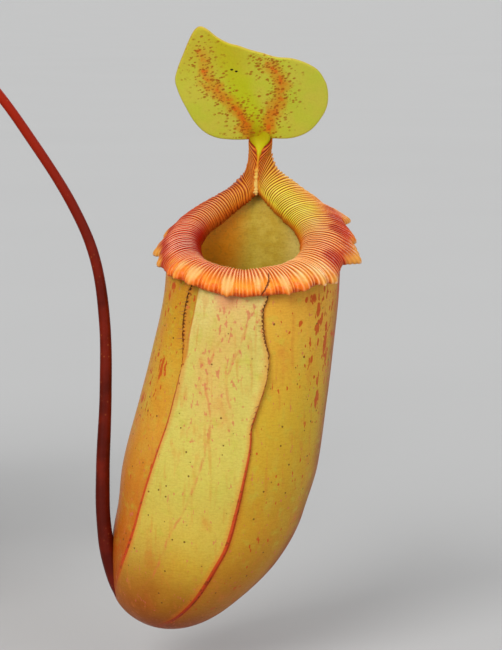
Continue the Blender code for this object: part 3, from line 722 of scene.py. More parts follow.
# the cup
cup = {
    "dome": 36.0, "depthRatio": 0.93, "wall": 1.2, "shoulder": 84.0, "collar": 8.0, "rim": 26.5,
    "radius": ((0, 27.7), (36, 28.0), (50, 29.1), (70, 28.0), (91, 26.7), (112, 26.5), (150, 26.2)),
    "centreX": ((0, -24.2), (9, -22.3), (21, -17.2), (36, -12.3), (57, -7.9), (84, -2.7), (105, 0.35),
                (150, 1.0)),
    "centreY": ((0, -3.0), (50, -2.0), (112, 0.0), (125, 1.6), (135, 3.6), (150, 3.8)),
    "columns": 190, "rows": 168, "insideRows": 56, "insideTop": 130.0,
    "leftRib": ((14, -40.4), (21.5, -38.6), (28, -36.4), (34, -34.4), (46, -30.9), (59, -26.6),
                (65, -24.4), (72, -22.2), (84, -19.3), (94, -18.9), (101, -18.0), (109, -16.2)),
    "rightRib": ((3.4, -27.0), (6, -23.0), (9.4, -19.6), (13.7, -16.2), (18.7, -13.1), (24, -10.2),
                 (30, -7.1), (40, -4.3), (53, -1.5), (60, -0.3), (66, 0.1), (72, 1.9), (80, 4.0),
                 (86, 4.7), (93, 3.6), (99.6, 3.5), (103, 4.7), (111, 5.7)),
    "vein": ((15, -33.3), (20, -29.4), (27.5, -26.1), (34, -23.4), (43, -18.6), (54, -14.7), (61, -12.6),
             (67, -11.7), (74, -12.6), (79, -12.9), (84, -11.7), (90, -9.3), (95, -7.2), (106, -5.0)),
    "leftRibHeight": ((14, 0.0), (24, 0.35), (40, 0.6), (62, 0.75), (76, 1.2), (100, 1.35), (108, 0.9)),
    "rightRibHeight": ((3, 0.0), (12, 0.4), (40, 0.65), (62, 0.9), (72, 1.3), (80, 1.6), (88, 1.3), (95, 0.8),
                       (108, 0.7)),
    "strip": ((80, 0.0), (86, 1.0), (91, 1.5), (98, 2.5), (109, 2.5)),
    "fold": 3.0, "drop": 0.3, "curlOver": 0.45, "notch": 0.22, "swell": 0.22,
    "rimHeight": 112, "rimShares": (0.5, 0.9), "underLip": 0.5, "samples": 1501,
    "backInside": (1.9, 0.6), "lipStation": 7.5, "arc": 27,  # arc is one radian's length
    "wingHeight": 80.0, "wingGap": 3.6, "backTurn": 2.3, "sampleColumn": 60, "innerEase": 0.13,
    "beside": (-3.4, -2.8, -2.2, -1.7, -1.3, -0.95, -0.65, -0.4, -0.2, -0.08, 0.06, 0.2, 0.4, 0.65, 0.95, 1.3,
               1.7, 2.2, 2.8, 3.4),  # columns each side of a wing, on the arc
    "neck": ((7.5, 158), (8, 162), (9, 167), (10, 171.5), (11, 176)), "neckColumns": (0.02, 0.42, 26),
    "chains": (  # sideways from the vein, lowest, highest, weakest and strongest
        (0, 12, 92, 0.1, 0.42), (6.2, 62, 100, 0, 0.4), (-7, 56, 74, 0, 0.3),
    ),
    "largeMarks": (  # sideways, height, half width, half height
        (17.9, 102.2, 0.8, 1.2), (19.9, 98.8, 0.5, 1.7), (16.0, 102.0, 0.4, 0.7), (15.2, 95.2, 0.45, 0.9),
        (21.4, 95.5, 0.3, 1.6), (20.6, 93.2, 0.5, 1.4), (23.6, 88.3, 0.35, 3.9), (24.4, 84.2, 0.25, 2.4),
        (20.1, 84.2, 0.35, 1.1), (23.3, 72.1, 0.55, 2.2), (22.6, 77.4, 0.2, 1.2), (-23.0, 80.7, 0.4, 3.4),
        (-23.3, 105.0, 0.45, 0.9), (-24.4, 102.0, 0.3, 1.2), (-26.2, 71.0, 0.3, 1.2),
    ),
    "coloured": 110,  # the height up to which the colours run
    "colours": {  # by height from the foot
        "leftSide": ((0, (0.37, 0.085, 0.006)), (14, (0.4, 0.085, 0.005)), (34, (0.56, 0.155, 0.012)),
                     (46, (0.62, 0.22, 0.02)), (64, (0.7, 0.32, 0.034)), (84, (0.68, 0.36, 0.028)),
                     (96, (0.64, 0.33, 0.022)), (108, (0.62, 0.27, 0.02))),
        "rightSide": ((0, (0.4, 0.12, 0.008)), (15, (0.5, 0.2, 0.014)), (36, (0.6, 0.32, 0.022)),
                      (68, (0.66, 0.42, 0.03)), (84, (0.72, 0.42, 0.036)), (96, (0.78, 0.42, 0.044)),
                      (108, (0.74, 0.36, 0.04))),
        "panel": ((2, (0.4, 0.13, 0.01)), (12, (0.42, 0.15, 0.01)), (24, (0.62, 0.38, 0.036)),
                  (30, (0.64, 0.45, 0.06)), (46, (0.65, 0.52, 0.09)), (60, (0.66, 0.56, 0.11)),
                  (72, (0.67, 0.56, 0.125)), (91, (0.67, 0.54, 0.13)), (101, (0.76, 0.62, 0.2))),
        "wingLine": ((0, (0.42, 0.03, 0.005)), (30, (0.58, 0.05, 0.012)), (62, (0.56, 0.055, 0.014)),
                     (74, (0.42, 0.05, 0.01)), (86, (0.2, 0.034, 0.006)), (96, (0.12, 0.026, 0.004)),
                     (102, (0.05, 0.016, 0.003))),
    },
}


def cupAt(what, z):
    return curve(cup[what], z)


def cupSurface(angle, z, grow=0.0):
    dome = np.clip(z / cup["dome"], 0, 1)
    radius = cupAt("radius", z) * np.sqrt(np.clip(1 - (1 - dome) ** 2, 0, 1))
    x = cupAt("centreX", z) + (radius + grow) * np.sin(angle)
    y = cupAt("centreY", z) - (cup["depthRatio"] * radius + grow) * np.cos(angle)
    return stack(x, y, z - grow * (1 - dome)), radius


def ribAngle(line, z):
    # the angle from the front at which a line of (height, sideways place) lies on the cup
    dome = np.clip(z / cup["dome"], 0.02, 1)
    radius = cupAt("radius", z) * np.sqrt(1 - (1 - dome) ** 2)
    return np.arcsin(np.clip((cupAt(line, z) - cupAt("centreX", z)) / radius, -0.97, 0.97))


def cupRim():
    # where the wall ends inside the lip, by the angle from the front
    s = np.linspace(-lastStation, lastStation, cup["samples"])
    inner, outer, _ = lipFrame(s)

    def fromAxis(p, height):
        return p[:, 0] - cupAt("centreX", height), (p[:, 1] - cupAt("centreY", height)) / cup["depthRatio"]

    near, far = (np.hypot(*fromAxis(edge, cup["rimHeight"])) for edge in (inner, outer))
    share = np.clip((cup["rim"] - near) / (far - near), *cup["rimShares"])
    top = lipSurface(s, np.degrees(np.arccos(1 - 2 * share)), np.full(s.shape, cup["underLip"]))
    across, back = fromAxis(top, top[:, 2])
    neck = np.radians(curve(cup["neck"], abs(s))) * np.sign(s)
    angle = np.where(abs(s) > cup["lipStation"], neck, np.arctan2(across, -back))
    middle = (top[0] + top[-1]) / 2 + np.array((0, 0.6, 0))
    angle = np.concatenate([[-math.pi], angle, [math.pi]])
    top = np.concatenate([middle[None], top, middle[None]])
    order = np.argsort(angle)
    return angle[order], top[order]


def cupColumns():
    # angles round the cup, closer together at the two wings and behind the neck
    even = np.linspace(-math.pi, math.pi, cup["columns"], endpoint=False)
    near = np.array(cup["beside"]) / cup["arc"]
    first, last, count = cup["neckColumns"]
    neck = math.pi - np.linspace(first, last, count)
    wings = [ribAngle(line, cup["wingHeight"]) for line in ("leftRib", "rightRib")]
    kept = [a for a in even if min(abs(a - w) for w in wings) > cup["wingGap"] / cup["arc"]
            and abs(a) < math.pi - last - 0.02]
    return np.sort(np.concatenate([kept, wings[0] + near, wings[1] + near, neck, -neck, [-math.pi]])), wings


def eased(values, angle, width):
    # values round the cup, evened out over an angle
    weights = np.exp(-((((angle[:, None] - angle[None] + math.pi) % turnFull) - math.pi) / width) ** 2)
    return weights @ values / weights.sum(1)[:, None]


def buildCup(pitcher, name):
    base, wings = cupColumns()
    rimAngle, rimTop = cupRim()
    rim = stack(*(np.interp(base, rimAngle, rimTop[:, k]) for k in range(3)))
    up = (1 - np.cos(np.linspace(0.012, 1, cup["rows"]) * math.pi / 2))[:, None]
    z = up * rim[None, :, 2]
    back, height = cup["backTurn"], z[:, cup["sampleColumn"]]
    level = np.full(z.shape[0], back)
    knots = stack(-level, ribAngle("leftRib", height), ribAngle("rightRib", height), level)
    angle = np.array([np.interp(base, (-math.pi, -back, *wings, back, math.pi), (-math.pi, *row, math.pi))
                      for row in knots])

    def surface(z, angle, grow, rim):
        points, radius = cupSurface(angle, z, grow)
        bend = ease((z - cup["shoulder"]) / (rim[None, :, 2] - cup["collar"] - cup["shoulder"]))
        foot, _ = cupSurface(base[None], rim[None, :, 2], grow)
        inward = stack(np.sin(base), -np.cos(base), base * 0)[None] * grow
        return points + (rim[None] + inward - foot) * bend[..., None], radius

    points, radius = surface(z, angle, 0.0, rim)
    left, right, vein = ((angle - ribAngle(line, z)) * radius for line in ("leftRib", "rightRib", "vein"))
    notch = 1 + cup["notch"] * np.sin(z * 2.9) * ease((z - cup["shoulder"]) / 8)

    def wing(distance, line, side):
        # a fold of skin that rises towards the wing's edge and drops away past it
        d, drop = distance * side, cup["drop"]
        rise = np.clip((d + cup["fold"]) / (cup["fold"] - drop), 0, 1) ** 2.0
        fall = 1 - ease((d + drop) / (drop + 0.12))
        crest = cupAt(line + "Height", z) * notch * np.where(d < -drop, rise, fall)
        return crest, side * cup["curlOver"] * crest * hill(d, -0.35, 0.6)

    liftLeft, slideLeft = wing(left, "leftRib", -1)
    liftRight, slideRight = wing(right, "rightRib", 1)
    swell = cup["swell"] * ripple(angle * cup["arc"], z, 5, 26) * ease(z / 20) * ease((98 - z) / 14)
    lift = liftLeft + liftRight + swell
    outward = unit(stack(np.sin(angle), -np.cos(angle), -(1 - np.clip(z / cup["dome"], 0, 1))))
    along = stack(np.cos(angle), np.sin(angle), angle * 0)
    points = points + outward * lift[..., None] + along * (slideLeft + slideRight)[..., None]
    # the inside is evened out and stops below the neck, where the two flanks of the lip meet
    smooth = eased(rim, base, cup["innerEase"])
    low = np.minimum(smooth[:, 2], cup["insideTop"])
    start, width = cup["backInside"]
    back = ease((abs(base) - start) / width)[:, None]
    rimInside = rim * (1 - back) + np.concatenate([smooth[:, :2], low[:, None]], 1) * back
    upInside = (1 - np.cos(np.linspace(0.035, 1, cup["insideRows"]) * math.pi / 2))[::-1, None]
    zInside = upInside * rimInside[None, :, 2]
    level = np.broadcast_to(base[None], zInside.shape)
    inside, _ = surface(zInside, level, -cup["wall"], rimInside)
    bothAngles = np.concatenate([angle, level])

    def both(outside, within=60.0):
        return np.concatenate([outside, np.full(zInside.shape, within)])

    return loft(name, placed(pitcher, np.concatenate([points, inside])), {
        "left": both(left), "right": both(right), "vein": both(vein), "up": np.concatenate([z, zInside]),
        "sideways": np.sin(bothAngles) * cup["arc"], "facing": np.cos(bothAngles) * cup["arc"],
        "strip": both(left - cupAt("strip", z)), "inside": both(np.zeros(z.shape), 1.0),
    })


def cupFinish(maker):
    left, right, vein, strip = maker.marks("left", "right", "vein", "strip")
    up, sideways, facing, inside = maker.marks("up", "sideways", "facing", "inside")
    skin = maker.place()
    broad, patchy = skin.noise(16.0, 3), skin.noise(5.0, 3, stretch=(1, 1, 2.2))
    grain, weave = skin.noise(0.55, 2), skin.noise(0.35, 2, stretch=(5, 5, 1))
    whole = cup["coloured"]
    height = (up + (broad - 0.5) * 14) / whole

    def byHeight(what):
        return maker.ramp(height, *((place / whole, colour) for place, colour in cup["colours"][what]))

    leftSide, rightSide, panel = byHeight("leftSide"), byHeight("rightSide"), byHeight("panel")
    middle = abs(vein - 1 + (broad - 0.5) * 8).step(8, 2) * up.step(50, 76)
    panel = panel.mix(middle * 0.36, (0.76, 0.38, 0.115))
    side = maker.mix(sideways.step(-4, 4), leftSide, rightSide)
    # painted shade down the right side, where the cup turns away from the light
    edge = (facing + (broad - 0.5) * 6).step(14, 4) * sideways.step(-6, 6)
    side = side.mix(edge * 0.92, (0.32, 0.066, 0.001))
    side = side.mix(facing.step(15, -4) * sideways.step(4, -4) * up.step(104, 60) * 0.5, (0.5, 0.14, 0.01))
    foot = maker.larger((up + (broad - 0.5) * 8).step(12, 0), facing.step(16, 4) * up.step(44, 24))
    between = (strip + (grain - 0.5) * 0.4).step(-0.15, 0.35) * right.step(0.12, -0.12)
    colour = side.mix(between, panel)
    # painted shade on the strip beside the left wing
    stripShade = left.step(-0.1, 0.2) * strip.step(0.3, -0.3) * up.step(82, 90)
    colour = colour.mix(stripShade * 0.7, (0.48, 0.29, 0.026))
    warm, cool = patchy.step(0.44, 0.24), skin.noise(3.2, 3).step(0.54, 0.74)
    colour = colour.mix(warm * 0.42, (0.66, 0.19, 0.03))
    colour = colour.mix(cool * up.step(14, 34) * 0.38, (0.54, 0.5, 0.05))
    green = patchy.step(0.45, 0.75) * up.step(22, 45) * up.step(104, 90)
    colour = colour.mix(green * (0.22 + between * 0.2), (0.58, 0.56, 0.085))
    # painted shade along the lower left edge, in the foot's dark red
    foot = maker.larger(foot, sideways.step(-4, -14) * up.step(40, 14) * 0.6)
    colour = colour.mix(foot * 0.88, (0.33, 0.056, 0.005))
    # red marks drawn out along the cup, thickest high on the front and by the right edge
    near = abs(vein - 2).step(11, 4) * up.step(50, 84) * between
    blot = skin.noise(1.05, 1, stretch=(1, 1, 1.9))
    marks = (blot + near * 0.095 + (patchy - 0.5) * 0.1).step(0.67, 0.77)
    colour = colour.mix(marks * 0.64, (0.66, 0.14, 0.085))
    flank = sideways.step(13, 22) * up.step(62, 92) + sideways.step(-18, -24) * up.step(50, 70) * 0.5
    thin = skin.noise(1.25, 1, stretch=(1, 1, 2.2))
    drops = (thin + flank * 0.13 + (patchy - 0.5) * 0.1).step(0.7, 0.745) * (1 - between)
    for x, z, wide, tall in cup["largeMarks"]:
        away = ((sideways - x) / wide) ** 2 + ((up - z) / tall) ** 2 + (thin - 0.5) * 5 + (grain - 0.5) * 2
        drops = maker.larger(drops, away.step(1.8, 0.7) * facing.step(0, 2))
    colour = colour.mix(drops * 0.88, (0.58, 0.07, 0.01))
    faint = skin.noise(1.5, 1, stretch=(1, 1, 9)).step(0.56, 0.76)
    colour = colour.mix(faint * 0.32, (0.64, 0.2, 0.03))
    away = ((vein + 1) / 4.5) ** 2 + ((up - 103.5) / 5) ** 2 + (blot - 0.5) * 1.6 + (patchy - 0.5)
    colour = colour.mix(away.step(1.2, 0.1) * between * 0.5, (0.76, 0.22, 0.14))
    # small dark glands
    dots = skin.cells(3.1).step(0.125, 0.075) * skin.noise(4.0, 1).step(0.4, 0.48)
    colour = colour.mix(dots * 0.85, (0.15, 0.06, 0.008))
    # the middle vein and a broken chain of marks beside it
    wobble = (skin.noise(3.0, 2) - 0.5) * 1.6
    broken = skin.noise(2.4, 1, stretch=(1, 1, 3)).step(0.44, 0.58)
    for offset, low, high, least, strong in cup["chains"]:
        chain = up.step(high + 4, high - 8) * up.step(low, low + 10) * (least + broken * strong)
        colour = colour.mix(abs(vein - offset + wobble).step(0.75, 0.05) * chain, (0.66, 0.14, 0.055))
    # the lines down the edges of the wings, dark and cracked high up, red lower down
    line = byHeight("wingLine")
    saw = maker.sum("PINGPONG", up * 0.9 + grain * 1.6 + patchy * 3, 0.5) * up.step(84, 92)
    wide = up.step(88, 20, 0.24, 0.8)
    line = line.mix(skin.noise(1.6, 1).step(0.58, 0.66) * 0.6, (0.16, 0.02, 0.004))
    for distance, side, low, high in ((left, -1, 14, 26), (right, 1, 1, 8)):
        d, seen = distance * side, up.step(low, high)
        glow = (abs(d + 0.2) / up.step(70, 20, 1, 1.8)).step(1.5, 0.3) * seen
        colour = colour.mix(glow * 0.42, (0.7, 0.14, 0.016))
        crack = (abs(d + 0.15 + saw * 0.8) - wide).step(0.16, -0.1) * seen
        colour = colour.mix(crack * 0.92, line)
    fold = abs(strip).step(0.4, 0.1) * up.step(80, 90) * up.step(106, 100)
    colour = colour.mix(fold * 0.55, (0.52, 0.14, 0.02))
    # inside: pale olive, browner to the left, with a painted highlight at the back on the right and darker
    # flecks
    within = maker.mix(skin.noise(2.6, 4).step(0.3, 0.7), (0.58, 0.39, 0.036), (0.67, 0.5, 0.068))
    within = within.mix(sideways.step(-2, -12) * facing.step(2, -10) * 0.8, (0.8, 0.24, 0.004))
    # painted highlight on the inner wall at the back on the right
    within = within.mix(sideways.step(5, 18) * facing.step(6, -6) * 0.6, (0.84, 0.68, 0.2))
    within = within.mix(skin.noise(1.3, 3).step(0.54, 0.68) * 0.26, (0.34, 0.17, 0.012))
    colour = colour.mix(inside, within)
    worn = grain.step(0.35, 0.75) * 0.2 + weave.step(0.4, 0.7) * 0.2
    colour = colour.mix(worn, (0.66, 0.5, 0.34), "MULTIPLY")
    lumps = grain * 0.5 + weave * 0.3 + patchy * 0.6 - dots * 0.8
    return colour, (grain + patchy).step(0.7, 1.3, 0.36, 0.5), (lumps, 0.25, 0.45)


# the hairs along the wings
fringe = {
    "spacing": 1.35, "length": (0.5, 2.5), "thickness": 0.13, "spread": 0.5, "seed": 4, "points": 60,
    "out": 0.8, "aside": 0.1, "lean": (1, 0.5, -0.15),  # root on the wing; lean aside, out and up
    "runs": (("leftRib", 88, 108), ("rightRib", 92, 100), ("rightRib", 67, 72)),
}


def hairTree():
    tree, maker, given = nodeGroup("hairs along a wing", {
        **dict.fromkeys(("Spacing", "Shortest", "Longest", "Thickness", "Spread"), "Float"),
        "Seed": "Int", "Hair Material": "Material"})
    line = maker.node("GeometryNodeMeshToCurve", None, {0: given["Geometry"]})
    spread = maker.node("GeometryNodeResampleCurve", {"mode": "LENGTH"}, {
        0: line, "Length": given["Spacing"]})
    hair = maker.node("GeometryNodeMeshCone", None, {
        "Vertices": 5, "Radius Bottom": 1.0, "Radius Top": 0.15, "Depth": 1.0})
    loose = maker.random((-1, -1, -1), (1, 1, 1), given["Seed"])
    lean = maker.vector("ADD", maker.named("lean", "FLOAT_VECTOR"), maker.scaled(loose, given["Spread"]))
    turned = maker.node("FunctionNodeAlignRotationToVector", {"axis": "Z"}, {"Vector": lean})
    length = maker.random(given["Shortest"], given["Longest"], given["Seed"])
    hairs = maker.node("GeometryNodeInstanceOnPoints", None, {
        0: spread, "Instance": hair, "Rotation": turned,
        "Scale": maker.joined(given["Thickness"], given["Thickness"], length)})
    closeGroup(tree, maker, hairs, given["Hair Material"])
    return tree


def buildFringe(pitcher, name, tree, material):
    points, leans, edges = [], [], []
    count = fringe["points"]
    for line, low, high in fringe["runs"]:
        z = np.linspace(low, high, count)
        angle = ribAngle(line, z)
        outward = stack(np.sin(angle), -np.cos(angle), z * 0)
        across = -stack(np.cos(angle), np.sin(angle), z * 0)
        lift = cupAt(line + "Height", z)[:, None] * fringe["out"]
        place = cupSurface(angle, z)[0] + outward * lift + across * fringe["aside"]
        start = len(points) * count
        edges += [(start + i, start + i + 1) for i in range(count - 1)]
        points.append(placed(pitcher, place))
        aside, out, rise = fringe["lean"]
        leans.append((across * aside + outward * out + np.array((0, 0, rise))) @ pitcher["rotate"].T)
    data = bpy.data.meshes.new(name)
    data.from_pydata((np.concatenate(points) * mm).tolist(), edges, [])
    leans = np.concatenate(leans).astype(np.float32).ravel()
    data.attributes.new("lean", "FLOAT_VECTOR", "POINT").data.foreach_set("vector", leans)
    size, (shortest, longest) = pitcher["scale"] * mm, fringe["length"]
    return withNodes(added(name, data), tree, {
        "Spacing": fringe["spacing"] * size, "Shortest": shortest * size, "Longest": longest * size,
        "Thickness": fringe["thickness"] * size, "Spread": fringe["spread"], "Seed": fringe["seed"],
        "Hair Material": material})


def hairFinish(maker):
    place = maker.place()
    colour = maker.mix(place.noise(1.2), (0.1, 0.025, 0.006), (0.5, 0.2, 0.05))
    return colour, place.noise(2.0).step(0.3, 0.7, 0.4, 0.6)


# the lid, the neck's ridge and the spur
lid = {
    "foot": (-0.7, 24.3, 146.2), "middle": (-2.5, 16.0), "rise": 1.05, "lean": math.tan(math.radians(33)),
    "cup": 0.012, "wall": 0.9, "rows": 34, "columns": 150, "corner": (121, 139),
    "rounded": (0.968, 0.986, 1.0),  # shares of the outline at which the rim rounds over
    "keel": 0.85, "keelWidth": 2.5, "keelEnd": 15, "swell": 0.25,
    "specks": ((-8.4, 21.3, 0), (-7.0, 20.8, 0)),
    "glands": ((0.85, 4.0, 3.1), (1.15, 5.5, 0.0), (1.5, 8.0, 7.3)),  # size, reach from a band and seed
    "outline": ((0, 22.5), (11, 20.3), (19, 17.8), (28, 15.0), (44, 11.0), (67, 9.5), (94, 9.9), (116, 12.6),
                (124, 14.8), (128.5, 17.6), (130.3, 20.3), (132.5, 22.3), (136, 22.9), (141, 22.8),
                (148, 22.4), (158, 22.2), (169, 22.7), (178, 23.2), (186, 22.5), (200, 21.3), (214, 20.9),
                (226, 20.4), (237, 19.3), (248, 17.9), (263, 16.7), (278, 16.4), (292, 17.5), (311, 21.0),
                (322, 22.7), (333, 23.5), (343, 23.9), (353, 23.3), (360, 22.5)),
    "bands": (((-3.6, 0.0), (-5.4, 6.5), (-7.8, 10.0), (-11.7, 13.4), (-16.0, 19.2), (-17.6, 26.2)),
              ((2.4, 0.0), (3.0, 5.0), (4.0, 8.4), (5.9, 12.9), (6.4, 16.2), (5.3, 20.1), (2.2, 23.0))),
    "midline": ((-2, -0.1), (2.6, -0.9), (8.2, -3.0), (15, -6.0), (22, -9.0), (28, -11.3)),
}
ridge = {  # the yellow tongue between the flanks of the neck, its sizes by height
    "front": ((129.0, 18.9), (131, 19.3), (134, 20.0), (137, 20.7), (140, 21.3), (142, 21.8), (144, 22.3),
              (145.2, 22.5), (146.2, 22.55), (147.2, 22.35), (148.2, 21.95), (149.2, 21.4), (150.2, 20.8),
              (151.2, 20.25), (152.2, 19.75), (154, 18.8)),
    "width": ((129.0, 0.35), (131, 0.5), (134, 0.5), (137, 0.45), (140.5, 0.5), (142, 1.0), (143.5, 1.8),
              (145, 2.9), (146.5, 3.3), (148, 2.5), (149, 1.7), (151, 1.0), (154, 0.5)),
    "depth": ((129.0, 0.6), (134, 0.8), (140, 0.9), (145, 1.1), (148, 1.3), (151, 1.0), (154, 0.6)),
    "side": ((129.0, -1.15), (134, -1.2), (139, -0.9), (143, -0.6), (147, -0.7), (150, -0.9), (154, -1.3)),
    "top": 154, "bottom": 129, "rows": 120, "columns": 20, "toothed": 138.5,
    "toothOut": 0.45, "toothAside": 0.25, "toothAhead": 0.35,
    "coloured": (128, 158),  # heights between which the colours run
    "colours": ((0.0, (0.8, 0.56, 0.18)), (0.26, (0.76, 0.46, 0.08)), (0.33, (0.72, 0.24, 0.015)),
                (0.4, (0.66, 0.32, 0.01)), (0.47, (0.58, 0.5, 0.006)), (0.53, (0.54, 0.49, 0.003)),
                (0.6, (0.46, 0.38, 0.001)), (0.7, (0.5, 0.4, 0.001)), (1.0, (0.6, 0.62, 0.01))),
}
spurPlan = {"line": ((0, 29.0, 135.0), (0, 32.2, 138.6), (0, 34.8, 143.0), (0, 36.2, 148.0)),
            "radius": (1.35, 0.2), "tip": (0.95, 0.8, 0.55, 0.2), "steps": 40, "sides": 14, "fluting": 0.06}


def lidPoint(angle, share):
    outline = curve(lid["outline"], np.degrees(angle) % 360)
    p = lid["middle"][0] + outline * share * np.cos(angle)
    q = (lid["middle"][1] + outline * share * np.sin(angle)) * lid["rise"]
    keel = hill(p - curve(lid["midline"], q), 0, lid["keelWidth"]) * ease((lid["keelEnd"] - q) / 14)
    swell = ripple(p, q, 11, 17) * ease(share * 1.2) * ease((q - 1) / 8)
    bow = lid["swell"] * swell + lid["keel"] * keel
    y = lid["cup"] * p * p - lid["lean"] * q - bow
    return faced(lid["foot"]) + stack(p, y, q), p, q


def awayFrom(line, p, q):
    # how far a point lies from a smooth line of (p, q) places
    path = through(line, 60)
    return np.sqrt(((p[..., None] - path[:, 0]) ** 2 + (q[..., None] - path[:, 1]) ** 2).min(-1))


def buildLid(pitcher, name):
    start, end = lid["corner"]
    even = np.arange(lid["columns"]) / lid["columns"] * 360
    degrees = np.sort(np.concatenate([even[(even < start) | (even > end)], np.arange(start, end, 0.75)]))
    first = lid["rounded"][0]
    share = np.concatenate([np.linspace(0.03, 0.94, lid["rows"]), lid["rounded"]])
    edge = np.sqrt(np.clip(1 - (np.clip(share - first, 0, 1) / (1.001 - first)) ** 2, 0.0, 1))
    both = np.concatenate([share, share[:-1][::-1]])[:, None]
    thick = np.concatenate([-edge, edge[:-1][::-1]])[:, None] * lid["wall"] / 2
    points, p, q = lidPoint(np.radians(degrees)[None], both)
    normal = unit(stack(-2 * lid["cup"] * p, np.ones(p.shape), np.full(p.shape, lid["lean"])))
    bands = [awayFrom(line, p, q) for line in lid["bands"]]
    return loft(name, placed(pitcher, points + normal * thick[..., None]), {
        "p": p, "q": q, "share": both, "back": (thick > 0) * 1.0, "band": np.minimum(*bands),
        "middle": p - curve(lid["midline"], q)})


def lidFinish(maker):
    p, q, share, back, band, middle = maker.marks("p", "q", "share", "back", "band", "middle")
    flat = maker.joined(p, q, back * 50)
    broad, fine = flat.noise(8.0, 3), flat.noise(0.6, 2)
    away = abs(middle)
    face = 1 - back
    colour = maker.mix(broad.step(0.35, 0.65), (0.66, 0.71, 0.05), (0.72, 0.68, 0.066))
    lime = (away + (broad - 0.5) * 4).step(7.0, 1.0)
    colour = colour.mix(lime * 0.9, (0.62, 0.68, 0.012))
    base = q.step(9, 1)
    colour = colour.mix(base * away.step(6, 1) * 0.9, (0.48, 0.38, 0.002))
    # painted shade in a fold just left of the middle at the lid's base
    colour = colour.mix(base * abs(middle + 2.2).step(1.4, 0.2) * 0.7, (0.34, 0.2, 0.001))
    colour = colour.mix(q.step(15, 27) * p.step(4, -8) * 0.4, (0.66, 0.42, 0.02))
    # an orange flush along each band, with red glands in and around it
    flush = (band + (flat.noise(3.0, 2) - 0.5) * 5.5).step(3.4, 0.2) * face
    flush = flush * q.step(-1, 4, 0.3, 1.0) * q.step(26, 17, 0.35, 1.0) * broad.step(0.25, 0.6, 0.5, 1.0)
    colour = colour.mix(flush * 0.9, (0.8, 0.22, 0.008))
    hot = (band + (flat.noise(2.2, 1) - 0.5) * 6).step(0.8, -0.6) * face
    colour = colour.mix(hot * 0.8, (0.84, 0.16, 0.01))
    turned = maker.node("ShaderNodeMapping", None, {"Vector": flat, "Rotation": (0, 0, math.radians(-14))})
    for size, reach, seed in lid["glands"]:
        moved = maker.vector("ADD", turned, (seed, seed, 0))
        gland = moved.cells(size, stretch=(1.3, 0.8, 1))
        wanted = (band + (moved.noise(2.4, 1) - 0.5) * 12).step(reach, reach * 0.45)
        dots = gland.step(0.36, 0.2) * wanted * face
        colour = colour.mix(dots * fine.step(0.2, 0.7, 0.55, 0.9), (0.44, 0.11, 0.006))
    sparse = flat.cells(3.1).step(0.13, 0.07) * face
    colour = colour.mix(sparse * 0.5, (0.42, 0.22, 0.01))
    for at in lid["specks"]:
        reach = maker.vector("MULTIPLY", maker.vector("SUBTRACT", flat, at), (1, 1.5, 0))
        near = maker.vector("LENGTH", reach, out=1)
        colour = colour.mix((near + (fine - 0.5) * 0.4).step(0.55, 0.35) * face, (0.03, 0.02, 0.002))
    colour = colour.mix(share.step(0.982, 0.995) * 0.6, (0.6, 0.34, 0.08))
    outside = maker.mix(flat.noise(6.0, 3), (0.46, 0.46, 0.05), (0.6, 0.4, 0.05))
    colour = colour.mix(back * 0.75, outside)
    colour = colour.mix(fine.step(0.35, 0.75) * 0.12, (0.62, 0.5, 0.3), "MULTIPLY")
    net = flat.cells(3.4, feature="DISTANCE_TO_EDGE")
    height = net.step(0.0, 0.12) * 0.4 + fine * 0.5
    return colour, broad.step(0.3, 0.7, 0.42, 0.54), (height, 0.2, 0.25)


def buildRidge(pitcher, name):
    z = np.linspace(ridge["top"], ridge["bottom"], ridge["rows"])
    teeth = abs(np.sin(z * 2.1 + 1.3 * np.sin(z * 1.3))) * (0.45 + 0.55 * np.sin(z * 0.9 + 1) ** 2)
    teeth = teeth * ease((ridge["toothed"] - z) / 2.5)
    angle = circle(ridge["columns"])
    front, width, depth, side = (curve(ridge[what], z) for what in ("front", "width", "depth", "side"))
    wide = width + teeth * ridge["toothOut"]
    x = (side - teeth * ridge["toothAside"])[:, None] + wide[:, None] * np.cos(angle)
    y = (front - teeth * ridge["toothAhead"] + depth)[:, None] - depth[:, None] * np.sin(angle)
    z = z[:, None]
    return loft(name, placed(pitcher, faced(stack(x, y, z))), {"up": z, "left": -np.cos(angle)})


def ridgeFinish(maker):
    up, left = maker.marks("up", "left")
    place = maker.place()
    mottle, fine = place.noise(1.3, 3), place.noise(0.6, 2)
    low, high = ridge["coloured"]
    colour = maker.ramp((up - low) / (high - low), *ridge["colours"])
    # painted shade on the left side of the ridge's upper part
    colour = colour.mix(left.step(0.2, 0.8) * up.step(142, 146) * 0.6, (0.34, 0.2, 0.001))
    colour = colour.mix(mottle.step(0.54, 0.68) * up.step(141, 138) * 0.7, (0.62, 0.15, 0.015))
    return colour, mottle.step(0.3, 0.7, 0.42, 0.54), (mottle + fine * 0.5, 0.2, 0.3)


def buildSpur(pitcher, name):
    path = through([placed(pitcher, faced(p)) for p in spurPlan["line"]], spurPlan["steps"])
    first, last = spurPlan["radius"]
    radii = (first + (last - first) * np.linspace(0, 1, len(path)) ** 1.4) * pitcher["scale"]
    radii[-len(spurPlan["tip"]):] *= spurPlan["tip"]

    def fluted(around, along):
        return 1 + spurPlan["fluting"] * np.cos(3 * around + 5 * along)

    return pipe(name, path, radii, spurPlan["sides"], shape=fluted)


